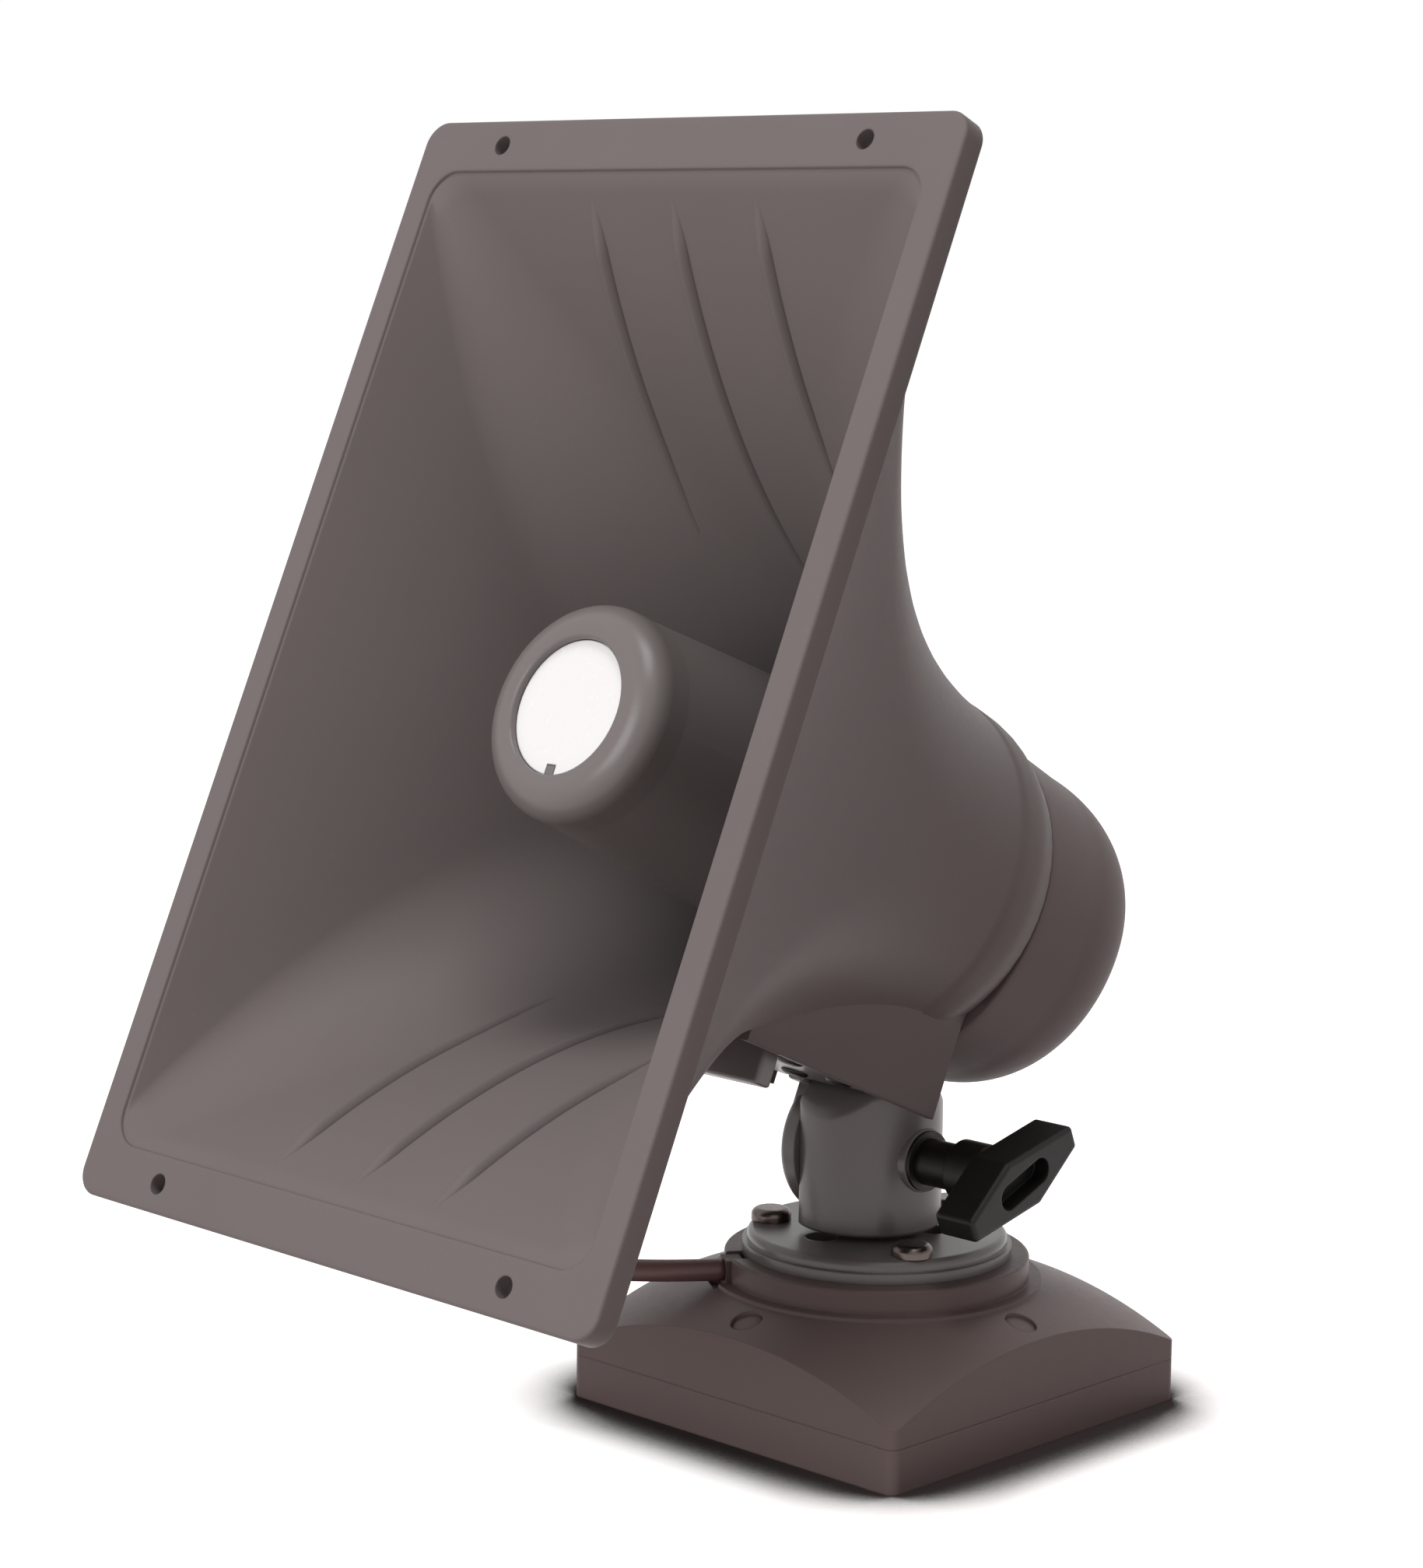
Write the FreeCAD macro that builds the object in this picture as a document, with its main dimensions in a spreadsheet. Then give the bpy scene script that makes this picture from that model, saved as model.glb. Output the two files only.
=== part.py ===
import FreeCAD, Part
import Sketcher
import math
import os
import re

from FreeCAD import Placement, Rotation, Vector

os.makedirs("parts", exist_ok=True)
doc = FreeCAD.newDocument("PagingSpeaker")
sheet = doc.addObject("Spreadsheet::Sheet", "Sizes")

# Driving sizes in millimetres and degrees. Each becomes a cell with an alias.
SIZES = {
    "running_gap": 0.06,
    "seat_gap": 0.2,
    "near_gap": 0.3,
    "thread_gap": 0.04,
    # horn bell, measured from the mouth plane backwards
    "mouth_width": 185.5,
    "mouth_height": 292.5,
    "rim_depth": 6.8,
    "rim_lip": 2.6,
    "rim_plate": 3.6,
    "rim_corner": 8.5,
    "border_side": 10.0,
    "border_end": 15.0,
    "throat_radius": 45.0,
    "flare_length": 150.0,
    "flare_shape": 0.2,
    "bell_wall": 3.8,
    "mouth_roundness": 0.12,
    "rim_hole_across": 125.0,
    "rim_hole_along": 278.2,
    "rim_hole_radius": 2.6,
    "rim_boss_radius": 4.4,
    "rib_pitch": 27.0,
    "rib_height": 3.0,
    "rib_half_width": 3.2,
    "rib_tip": 4.0,
    "rib_peak": 9.0,
    "rib_long": 96.0,
    "rib_short": 76.0,
    "rib_root": 1.8,
    # pot behind the flare
    "pot_radius": 49.5,
    "pot_front": 147.0,
    "pot_shoulder": 161.0,
    "pot_shoulder_radius": 48.6,
    "pot_step": 0.8,
    "pot_waist": 170.0,
    "pot_waist_radius": 46.8,
    "pot_round": 14.0,
    "pot_back": 186.0,
    "pot_back_radius": 45.2,
    "baffle_seat": 170.0,
    "baffle_thickness": 7.0,
    "baffle_radius": 43.2,
    "chamber_radius": 40.0,
    # foot channel under the pot
    "channel_half": 30.0,
    "channel_wall": 2.6,
    "channel_edge": 62.4,
    "channel_front": 80.0,
    "channel_back": 168.0,
    "fairing_hollow": 0.22,
    "foot_boss_radius": 4.6,
    "foot_screw_front": 113.0,
    "foot_screw_back": 150.0,
    "foot_screw_half": 8.0,
    # bullet
    "bullet_front": 22.2,
    "bullet_radius": 28.2,
    "bullet_nose_round": 7.5,
    "bullet_back": 140.0,
    "bullet_back_radius": 33.8,
    "bullet_wall": 2.4,
    "bullet_cap": 5.0,
    "bullet_lead": 36.0,
    "bullet_screw_radius": 2.0,
    "bullet_head_radius": 4.0,
    "bullet_head_height": 2.4,
    "bullet_screw_length": 12.0,
    "label_radius": 17.5,
    "label_sink": 2.8,
    "label_thickness": 0.8,
    "label_notch": 1.6,
    "label_notch_depth": 2.6,
    # throat tube
    "tube_front": 62.0,
    "tube_bore": 10.5,
    "tube_wall": 2.4,
    "tube_bore_back": 8.0,
    "fin_count": 3,
    "fin_thickness": 2.0,
    "fin_back": 74.0,
    "hub_radius": 5.0,
    # driver
    "diaphragm_radius": 33.0,
    "diaphragm_thickness": 0.5,
    "dome_rise": 2.8,
    "recess_radius": 15.5,
    "recess_depth": 4.6,
    "coil_radius": 12.9,
    "coil_wall": 0.5,
    "coil_length": 8.0,
    "plate_radius": 39.0,
    "plate_bore": 14.2,
    "plate_thickness": 5.0,
    "magnet_radius": 32.0,
    "magnet_bore": 17.5,
    "magnet_length": 15.0,
    "yoke_radius": 31.0,
    "yoke_thickness": 5.0,
    "pole_radius": 12.0,
    "plug_thickness": 1.2,
    "plug_cone_radius": 5.0,
    "plug_cone_length": 12.0,
    "plug_hole_radius": 1.7,
    "plug_hole_circle": 7.3,
    "driver_screw_circle": 35.8,
    "driver_screw_radius": 1.5,
    "driver_head_radius": 2.7,
    "driver_head_height": 2.2,
    "driver_screw_length": 10.0,
    # rear cover
    "seal_thickness": 1.2,
    "seal_width": 3.8,
    "cover_radius": 45.6,
    "cover_wall": 3.0,
    "cover_length": 35.0,
    "cover_round": 22.0,
    "rear_screw_circle": 13.0,
    "rear_screw_radius": 2.0,
    "rear_head_radius": 4.0,
    "rear_head_depth": 2.4,
    "rear_post_radius": 6.2,
    "rear_screw_bite": 4.0,
    "pad_half": 22.0,
    "pad_drop": 49.0,
    "pad_length": 27.0,
    "pad_round": 6.0,
    # cable gland and cable
    "gland_station": 178.0,
    "gland_angle": 75.0,
    "gland_face": 50.0,
    "gland_pad_radius": 7.4,
    "gland_nut_across": 12.0,
    "gland_nut_height": 5.0,
    "gland_dome_radius": 4.9,
    "gland_length": 13.0,
    "gland_stem_radius": 4.6,
    "gland_stem_length": 5.5,
    "cable_radius": 3.0,
    "cable_first_run": 15.0,
    "cable_last_run": 15.0,
    # swivel
    "tilt_rest": 24.0,
    "axis_height": 69.5,
    "axis_back": 183.9,
    "axis_drop": 71.5,
    "pan_shift": 3.5,
    "barrel_radius": 20.0,
    "barrel_end": 17.0,
    "barrel_round": 8.0,
    "disc_outer": 19.0,
    "disc_seam": 12.8,
    "disc_round": 2.8,
    "neck_radius": 20.4,
    "neck_bottom": 49.4,
    "foot_half": 22.0,
    "foot_top": 61.4,
    "foot_thickness": 4.6,
    "foot_front": 104.0,
    "foot_corner": 4.0,
    "arm_low": 132.0,
    "arm_high": 156.0,
    "arm_root_angle": 29.0,
    "foot_back": 162.0,
    "foot_screw_radius": 2.0,
    "foot_head_radius": 4.0,
    "foot_head_height": 2.4,
    "foot_screw_length": 12.0,
    # wing knob and its stud
    "stud_radius": 4.0,
    "stud_start": 17.0,
    "stud_end": 30.0,
    "washer_thickness": 1.0,
    "washer_radius": 8.2,
    "knob_neck_radius": 6.3,
    "knob_collar_start": 30.0,
    "knob_collar_radius": 8.2,
    "wing_start": 38.5,
    "wing_end": 51.5,
    "wing_reach": 22.5,
    "wing_tip_long": 4.5,
    "wing_tip_short": 2.0,
    "wing_half": 8.6,
    "wing_angle": 22.0,
    "wing_round": 1.4,
    "wing_recess_half": 6.5,
    "wing_recess_radius": 3.6,
    "wing_recess_depth": 5.0,
    "wing_skew": 4.0,
    # mount flange
    "flange_radius": 36.7,
    "flange_bottom": 41.8,
    "flange_top": 47.9,
    "flange_step": 1.3,
    "flange_step_height": 3.0,
    "flange_round": 1.8,
    "hub_top_radius": 13.0,
    "screw_circle": 29.6,
    "screw_radius": 2.4,
    "screw_head_radius": 5.5,
    "screw_head_height": 3.4,
    "screw_length": 16.0,
    "screw_post_radius": 4.6,
    "screw_post_bottom": 31.0,
    "pit_circle": 18.5,
    "pit_radius": 4.4,
    "pit_depth": 3.5,
    # pan bolt
    "pan_radius": 4.0,
    "pan_top": 61.0,
    "pan_head_height": 5.3,
    "pan_head_across": 13.0,
    "pan_washer_radius": 9.5,
    "pan_washer_thickness": 1.6,
    # base
    "base_side": 117.0,
    "base_corner": 3.0,
    "seam_height": 11.7,
    "base_wall": 3.0,
    "tray_floor": 2.6,
    "dome_radius": 150.0,
    "dome_top": 41.0,
    "edge_round": 0.8,
    "boss_radius": 41.5,
    "boss_ring_radius": 45.0,
    "boss_ring_top": 35.2,
    "boss_plate": 4.0,
    "boss_inner": 37.5,
    "cover_screw_circle": 51.0,
    "cover_screw_radius": 1.7,
    "tray_post_radius": 5.0,
    "cover_head_radius": 3.4,
    "cover_head_height": 2.6,
    "cover_bore_radius": 4.25,
    "cover_bore_floor": 19.0,
    "cover_post_radius": 5.6,
    "cover_screw_tip": 5.0,
    "seal_groove": 1.2,
    "mount_across": 83.3,
    "mount_along": 46.0,
    "mount_hole_radius": 2.4,
    "wire_opening_width": 44.0,
    "wire_opening_length": 34.0,
    "wire_opening_middle": 20.0,
    "slot_half": 4.0,
    "slot_bottom": 32.6,
    "slot_angle": 236.0,
    "bush_flange": 1.2,
    "bush_top": 41.2,
    "cable_height": 38.0,
    # board
    "board_half": 38.0,
    "board_height": 18.0,
    "board_thickness": 1.6,
    "board_post_radius": 3.4,
    "board_post_half": 33.0,
    "board_screw_radius": 1.25,
    "board_screw_head": 2.6,
    "board_screw_length": 8.0,
    "jack_width": 16.0,
    "jack_length": 21.0,
    "jack_height": 13.4,
    "jack_mouth_width": 11.8,
    "jack_mouth_height": 8.4,
    "jack_mouth_depth": 14.0,
    "block_width": 11.0,
    "block_length": 9.0,
    "block_height": 9.0,
    "can_radius": 4.0,
    "can_height": 9.0,
    "coil_side": 12.0,
    "coil_height": 7.0,
    "chip_side": 14.0,
    "chip_height": 2.0,
}

for row, (alias, value) in enumerate(SIZES.items(), start=1):
    sheet.set(f"A{row}", alias.replace("_", " "))
    sheet.set(f"B{row}", str(value))
    sheet.setAlias(f"B{row}", alias)
doc.recompute()

nodes = {}


def size(alias):
    """Value of one cell of the sheet."""
    return float(sheet.get(alias))


def link(text):
    """Expression in which every word is a cell of the sheet."""
    return re.sub(r"[a-z]\w*", lambda word: "Sizes." + word.group(0), text)


def bound(kind, name, sizes, place=("0", "0", "0"), turn=None):
    """Part primitive whose sizes and place follow the sheet."""
    made = doc.addObject(kind, name)
    if turn is not None:
        made.Placement = Placement(Vector(), turn)
    for prop, text in sizes.items():
        made.setExpression(prop, link(text))
    for letter, text in zip("xyz", place):
        made.setExpression("Placement.Base." + letter, link(text))
    return made


def rod(name, radius, length, place=("0", "0", "0"), turn=None):
    """Round rod along its own Z axis."""
    return bound("Part::Cylinder", name, {"Radius": radius, "Height": length}, place, turn)


def block(name, length, width, height, place):
    """Rectangular block with one corner at its place."""
    return bound("Part::Box", name, {"Length": length, "Width": width, "Height": height}, place)


def shaped(name, shape):
    """Document object for a shape that Part's own functions make."""
    made = doc.addObject("Part::Feature", name)
    made.Shape = shape
    return made


def cut(name, base, *tools):
    """Base less every tool."""
    made = doc.addObject("Part::Cut", name)
    made.Base = base
    made.Tool = tools[0] if len(tools) == 1 else fuse(name + "_tools", *tools)
    return made


def fuse(name, *pieces):
    """All the pieces as one."""
    made = doc.addObject("Part::MultiFuse", name)
    made.Shapes = list(pieces)
    return made


def turned(name, outline, rounds=()):
    """Body turned about Z from (radius, height) corners, with rounds on some of its circles."""
    body = doc.addObject("PartDesign::Body", name)
    plane = [part for part in body.Origin.OriginFeatures if part.Role == "XZ_Plane"][0]
    sketch = body.newObject("Sketcher::SketchObject", name + "_sketch")
    sketch.AttachmentSupport = (plane, [""])
    sketch.MapMode = "FlatFace"
    corners = [(value_of(radius), value_of(height)) for radius, height in outline]
    count = len(corners)
    for index, start in enumerate(corners):
        end = corners[(index + 1) % count]
        sketch.addGeometry(Part.LineSegment(Vector(*start, 0), Vector(*end, 0)), False)
    for index in range(count):
        sketch.addConstraint(Sketcher.Constraint("Coincident", index, 2, (index + 1) % count, 1))
    for index, (radius, height) in enumerate(outline):
        for kind, text, number in (
            ("DistanceX", radius, corners[index][0]),
            ("DistanceY", height, corners[index][1]),
        ):
            place = sketch.addConstraint(Sketcher.Constraint(kind, -1, 1, index, 1, number))
            sketch.setExpression(f"Constraints[{place}]", link(text))
    turn = body.newObject("PartDesign::Revolution", name + "_turn")
    turn.Profile = sketch
    turn.ReferenceAxis = (sketch, ["V_Axis"])
    turn.Angle = 360
    doc.recompute()
    last = turn
    for number, (radius, height, amount) in enumerate(rounds):
        names = circles(last.Shape, value_of(radius), value_of(height))
        edge_round = body.newObject("PartDesign::Fillet", f"{name}_round_{number}")
        edge_round.Base = (last, names)
        edge_round.setExpression("Radius", link(amount))
        body.Tip = edge_round
        last = edge_round
        doc.recompute()
    return body


def value_of(text):
    """Number that an expression over the sheet gives now."""
    names = {alias: size(alias) for alias in re.findall(r"[a-z]\w*", text)}
    for alias in sorted(names, key=len, reverse=True):
        text = re.sub(rf"\b{alias}\b", repr(names[alias]), text)
    return float(FreeCAD.Units.Quantity(text).Value)


def circles(shape, radius, height):
    """Names of the circular edges of that radius at that height."""
    found = []
    for number, edge in enumerate(shape.Edges, start=1):
        curve = edge.Curve
        if isinstance(curve, Part.Circle):
            if abs(curve.Radius - radius) < 0.01 and abs(curve.Center.z - height) < 0.01:
                found.append(f"Edge{number}")
    return found


def finish(node, made, place=None):
    """Names the object of one node and sets it in the speaker."""
    made.Label = node
    if place is not None:
        made.Placement = place.multiply(made.Placement)
    nodes[node] = made
    return made


def ring_of(count, make):
    """Objects that make(number, angle) gives at even angles."""
    return [make(number, 360.0 * number / count) for number in range(count)]


TO_X = Rotation(Vector(0, 0, 1), Vector(1, 0, 0))
HORN_TURN = Rotation(Vector(1, 0, 0), 90 - size("tilt_rest"))
AXIS_IN_HORN = Vector(0, -size("axis_drop"), -size("axis_back"))
HORN = Placement(
    Vector(0, 0, size("axis_height")) - HORN_TURN.multVec(AXIS_IN_HORN), HORN_TURN
)
SWIVEL = Placement(Vector(0, 0, size("axis_height")), TO_X)


def flare_half(mouth_half, station):
    """Half size of the bell's inside, by the hyperbolic horn law, at a distance behind the mouth."""
    throat = size("throat_radius")
    shape = size("flare_shape")
    ratio = mouth_half / throat
    growth = (ratio + math.sqrt(ratio**2 - 1 + shape**2)) / (1 + shape)
    argument = math.log(growth) * (1 - station / size("flare_length"))
    return throat * (math.cosh(argument) + shape * math.sinh(argument))


def bell_halves(station, wall):
    """Half width, half height and corner radius of the bell at a distance behind the mouth."""
    half_width = flare_half(size("mouth_width") / 2 - size("border_side"), station)
    half_height = flare_half(size("mouth_height") / 2 - size("border_end"), station)
    opened = 1 - station / size("flare_length")
    share = 0.995 - (0.995 - size("mouth_roundness")) * opened**2
    corner = half_width * share
    return half_width + wall, half_height + wall, corner + wall


def rounded_wire(half_width, half_height, corner, height):
    """Closed rounded rectangle at a height, as four lines and four arcs."""
    in_x = half_width - corner
    in_y = half_height - corner
    edges = []
    for number, (side_x, side_y) in enumerate(((1, 1), (-1, 1), (-1, -1), (1, -1))):
        middle = Vector(side_x * in_x, side_y * in_y, height)
        start = math.radians(90 * number)
        points = [
            middle + Vector(corner * math.cos(start + turn), corner * math.sin(start + turn), 0)
            for turn in (0, math.pi / 4, math.pi / 2)
        ]
        edges.append((Part.Arc(*points).toShape(), points[2]))
    joined = []
    for number, (arc, end) in enumerate(edges):
        joined.append(arc)
        following = edges[(number + 1) % 4][0].Vertexes[0].Point
        joined.append(Part.LineSegment(end, following).toShape())
    return Part.Wire(joined)


def loft(name, wires, ruled=False):
    """Solid through the wires in order."""
    made = doc.addObject("Part::Loft", name)
    made.Sections = [shaped(f"{name}_section_{number}", wire) for number, wire in enumerate(wires)]
    made.Solid = True
    made.Ruled = ruled
    return made


def bell_loft(name, wall):
    """The flared part of the bell, grown by a wall."""
    shares = (0, 0.14, 0.32, 0.54, 0.77, 1)
    wires = []
    for share in shares:
        station = share * size("flare_length")
        wires.append(rounded_wire(*bell_halves(station, wall), -station))
    return loft(name, wires)


def inside_height(station, across):
    """Height of the bell's inner wall above the horn axis, at a distance across."""
    half_width, half_height, corner = bell_halves(station, 0)
    beyond = max(0, abs(across) - (half_width - corner))
    return half_height - corner + math.sqrt(corner**2 - beyond**2)


def rib(name, across, side, run):
    """One tapered rib that stands off the inner wall and fades out towards the throat."""
    height = size("rib_height")
    stations = (
        (size("rib_tip"), -0.4),
        (size("rib_peak"), height),
        (run * 0.4, height * 0.8),
        (run * 0.72, height * 0.5),
        (run, -0.4),
    )
    wires = []
    for station, rise in stations:
        half = size("rib_half_width") * (0.25 + 0.75 * max(rise, 0) / height)
        wall = side * inside_height(station, across)
        root = wall + side * size("rib_root")
        points = [
            Vector(across - half, root, -station),
            Vector(across + half, root, -station),
            Vector(across, wall - side * rise, -station),
        ]
        wires.append(Part.makePolygon(points + points[:1]))
    return loft(name, wires, ruled=True)


def shell_height(station, across):
    """Height of the middle of the bell's or the pot's wall under the axis, at a distance across."""
    middle = size("bell_wall") / 2
    if station < size("pot_front"):
        half_width, half_height, corner = bell_halves(station, middle)
        beyond = max(0, across - (half_width - corner))
        return half_height - corner + math.sqrt(corner**2 - beyond**2)
    share = min(1, (station - size("pot_shoulder")) / (size("pot_waist") - size("pot_shoulder")))
    drop = size("pot_shoulder_radius") - size("pot_waist_radius")
    radius = size("pot_shoulder_radius") - middle - max(0, share) * drop
    return math.sqrt(radius**2 - across**2)


def fairing(name, side):
    """Concave saddle between the bell's outside and one wall of the foot channel."""
    half = size("channel_half")
    edge = size("channel_edge")
    front = size("channel_front")
    length = size("channel_back") - front
    places = ((-0.01, edge - 1.2, 7), (0.2, edge - 3, 10), (0.47, 52, 8.5), (0.76, 47.5, 4.5), (1, 44, 2))
    wires = []
    for share, wall_y, out_x in places:
        station = front + share * length
        out_y = shell_height(station, half + out_x)
        low = Vector(side * half, -wall_y, -station)
        high = Vector(side * (half + out_x), -out_y, -station)
        deep = Vector(side * (half - size("channel_wall") / 2), -out_y, -station)
        chord = (low + high) * 0.5
        middle = chord + (deep - chord) * size("fairing_hollow")
        arc = Part.Arc(low, middle, high).toShape()
        foot = Vector(deep.x, low.y, -station)
        corners = [high, deep, foot, low]
        sides = [Part.makeLine(*pair) for pair in zip(corners, corners[1:])]
        wires.append(Part.Wire([arc, *sides]))
    return loft(name, wires)


def gland_turn():
    """Direction of the cable gland in the horn's frame."""
    angle = math.radians(size("gland_angle"))
    return Rotation(Vector(0, 0, 1), Vector(-math.sin(angle), -math.cos(angle), 0))


def along_gland(distance):
    """Point on the gland's axis, in the horn's frame."""
    return Vector(0, 0, -size("gland_station")) + gland_turn().multVec(Vector(0, 0, distance))


def gland_rod(name, radius, start, end):
    """Rod on the gland's axis between two distances from the horn axis."""
    solid = Part.makeCylinder(radius, end - start)
    solid.Placement = Placement(along_gland(start), gland_turn())
    return shaped(name, solid)


def rim():
    """Flat flange round the mouth with a turned-back lip and a boss behind each of its holes."""
    half_width = size("mouth_width") / 2
    half_height = size("mouth_height") / 2
    corner = size("rim_corner")
    depth = size("rim_depth")
    lip = size("rim_lip")
    outer = Part.Face(rounded_wire(half_width, half_height, corner, -depth))
    inner = Part.Face(rounded_wire(half_width - lip, half_height - lip, corner - lip, -depth))
    frame = outer.extrude(Vector(0, 0, depth)).cut(
        inner.extrude(Vector(0, 0, depth - size("rim_plate")))
    )
    bosses = [
        Part.makeCylinder(size("rim_boss_radius"), depth, Vector(x, y, -depth))
        for x, y in rim_holes()
    ]
    return shaped("rim", frame.fuse(bosses))


def rim_holes():
    """Centres of the four holes in the flange."""
    across = size("rim_hole_across") / 2
    along = size("rim_hole_along") / 2
    return [(x, y) for x in (-across, across) for y in (-along, along)]


def foot_screw_places():
    """Centres of the four foot screws, across and along the horn."""
    half = size("foot_screw_half")
    return [(x, -z) for x in (-half, half) for z in (size("foot_screw_front"), size("foot_screw_back"))]


def upright_rod(name, radius, x, z, low, high):
    """Rod across the horn axis, from a low to a high distance under it."""
    return shaped(name, Part.makeCylinder(radius, low - high, Vector(x, -low, z), Vector(0, 1, 0)))


def make_horn_bell():
    """Rectangular re-entrant horn in one moulding: flange, flare with ribs, pot and foot channel."""
    pot = turned(
        "pot",
        [
            ("0", "-pot_front"),
            ("pot_radius", "-pot_front"),
            ("pot_shoulder_radius", "-pot_shoulder"),
            ("pot_waist_radius", "-pot_waist"),
            ("pot_back_radius", "-pot_back"),
            ("0", "-pot_back"),
        ],
        [("pot_shoulder_radius", "-pot_shoulder", "pot_round")],
    )
    walls = [
        block(
            f"channel_wall_{number}",
            "channel_wall",
            "channel_edge - pot_radius * 0.7",
            "channel_back - channel_front",
            (across, "-channel_edge", "-channel_back"),
        )
        for number, across in enumerate(("-channel_half", "channel_half - channel_wall"))
    ]
    bosses = [
        upright_rod(f"foot_boss_{number}", size("foot_boss_radius"), x, z, size("foot_top"), 40)
        for number, (x, z) in enumerate(foot_screw_places())
    ]
    pad = gland_rod(
        "gland_pad", size("gland_pad_radius"), size("chamber_radius") + 2, size("gland_face")
    )
    outside = fuse(
        "bell_outside",
        bell_loft("flare_outside", size("bell_wall")),
        rim(),
        pot,
        *walls,
        fairing("fairing_left", -1),
        fairing("fairing_right", 1),
        *bosses,
        pad,
    )
    pot_void = turned(
        "pot_void",
        [
            ("0", "-flare_length + pot_step"),
            ("throat_radius + pot_step", "-flare_length + pot_step"),
            ("throat_radius + pot_step", "-baffle_seat + baffle_thickness + seat_gap"),
            ("baffle_radius + seat_gap", "-baffle_seat + baffle_thickness + seat_gap"),
            ("baffle_radius + seat_gap", "-baffle_seat"),
            ("chamber_radius", "-baffle_seat"),
            ("chamber_radius", "-pot_back"),
            ("0", "-pot_back"),
        ],
    )
    holes = [
        rod(f"rim_hole_{number}", "rim_hole_radius", "rim_depth", (x, y, "-rim_depth"))
        for number, (x, y) in enumerate(
            (across, along)
            for across in ("-rim_hole_across / 2", "rim_hole_across / 2")
            for along in ("-rim_hole_along / 2", "rim_hole_along / 2")
        )
    ]
    bite = size("foot_screw_radius") + size("thread_gap")
    tip = size("foot_top") + size("foot_thickness") - size("foot_screw_length")
    pilots = [
        upright_rod(f"foot_pilot_{number}", bite, x, z, size("foot_top"), tip)
        for number, (x, z) in enumerate(foot_screw_places())
    ]
    gland_hole = gland_rod(
        "gland_hole",
        size("gland_stem_radius") + size("thread_gap"),
        size("chamber_radius") - 2,
        size("gland_face"),
    )
    hollow = cut(
        "bell_hollow",
        outside,
        bell_loft("flare_inside", 0),
        pot_void,
        *holes,
        *pilots,
        gland_hole,
    )
    pitch = size("rib_pitch")
    ribs = [
        rib(
            f"rib_{side + 1}_{place + 1}",
            place * pitch,
            side,
            size("rib_short") if place else size("rib_long"),
        )
        for side in (-1, 1)
        for place in (-1, 0, 1)
    ]
    finish("horn_bell", fuse("bell", hollow, *ribs), HORN)


def make_bullet():
    """Round-nosed reflector, open at the back, with the seat and the key of its label disc."""
    shell = turned(
        "bullet_shell",
        [
            ("bullet_screw_radius + thread_gap", "-bullet_front - label_sink"),
            ("label_radius + seat_gap", "-bullet_front - label_sink"),
            ("label_radius + seat_gap", "-bullet_front"),
            ("bullet_radius", "-bullet_front"),
            ("bullet_radius", "-bullet_lead"),
            ("bullet_back_radius", "-bullet_back"),
            ("bullet_back_radius - bullet_wall", "-bullet_back"),
            ("bullet_radius - bullet_wall", "-bullet_lead"),
            ("bullet_radius - bullet_wall", "-bullet_lead + bullet_wall"),
            ("label_radius", "-bullet_front - label_sink - bullet_cap"),
            ("bullet_screw_radius + thread_gap", "-bullet_front - label_sink - bullet_cap"),
        ],
        [
            ("bullet_radius", "-bullet_front", "bullet_nose_round"),
            ("label_radius + seat_gap", "-bullet_front", "bullet_nose_round / 8"),
        ],
    )
    key = block(
        "label_key",
        "2 * label_notch - 2 * seat_gap",
        "label_notch_depth",
        "label_thickness",
        ("-label_notch + seat_gap", "-label_radius - seat_gap / 2", "-bullet_front - label_sink"),
    )
    head_sink = rod(
        "bullet_head_sink",
        "bullet_head_radius + seat_gap",
        "bullet_head_height + seat_gap",
        ("0", "0", "-bullet_front - label_sink - bullet_head_height - seat_gap"),
    )
    finish("reflector_bullet", cut("bullet", fuse("bullet_keyed", shell, key), head_sink), HORN)

    disc = rod(
        "label_blank",
        "label_radius",
        "label_thickness",
        ("0", "0", "-bullet_front - label_sink"),
    )
    notch = block(
        "label_cut",
        "2 * label_notch",
        "label_notch_depth + seat_gap",
        "label_sink",
        ("-label_notch", "-label_radius", "-bullet_front - label_sink"),
    )
    finish("label_disc", cut("label", disc, notch), HORN)

    screw = turned(
        "bullet_screw_body",
        [
            ("0", "-bullet_front - label_sink - seat_gap"),
            ("bullet_head_radius", "-bullet_front - label_sink - seat_gap"),
            ("bullet_head_radius", "-bullet_front - label_sink - seat_gap - bullet_head_height"),
            ("bullet_screw_radius", "-bullet_front - label_sink - seat_gap - bullet_head_height"),
            ("bullet_screw_radius", "-bullet_front - label_sink - bullet_screw_length"),
            ("0", "-bullet_front - label_sink - bullet_screw_length"),
        ],
    )
    finish("bullet_screw", screw, HORN)


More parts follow.
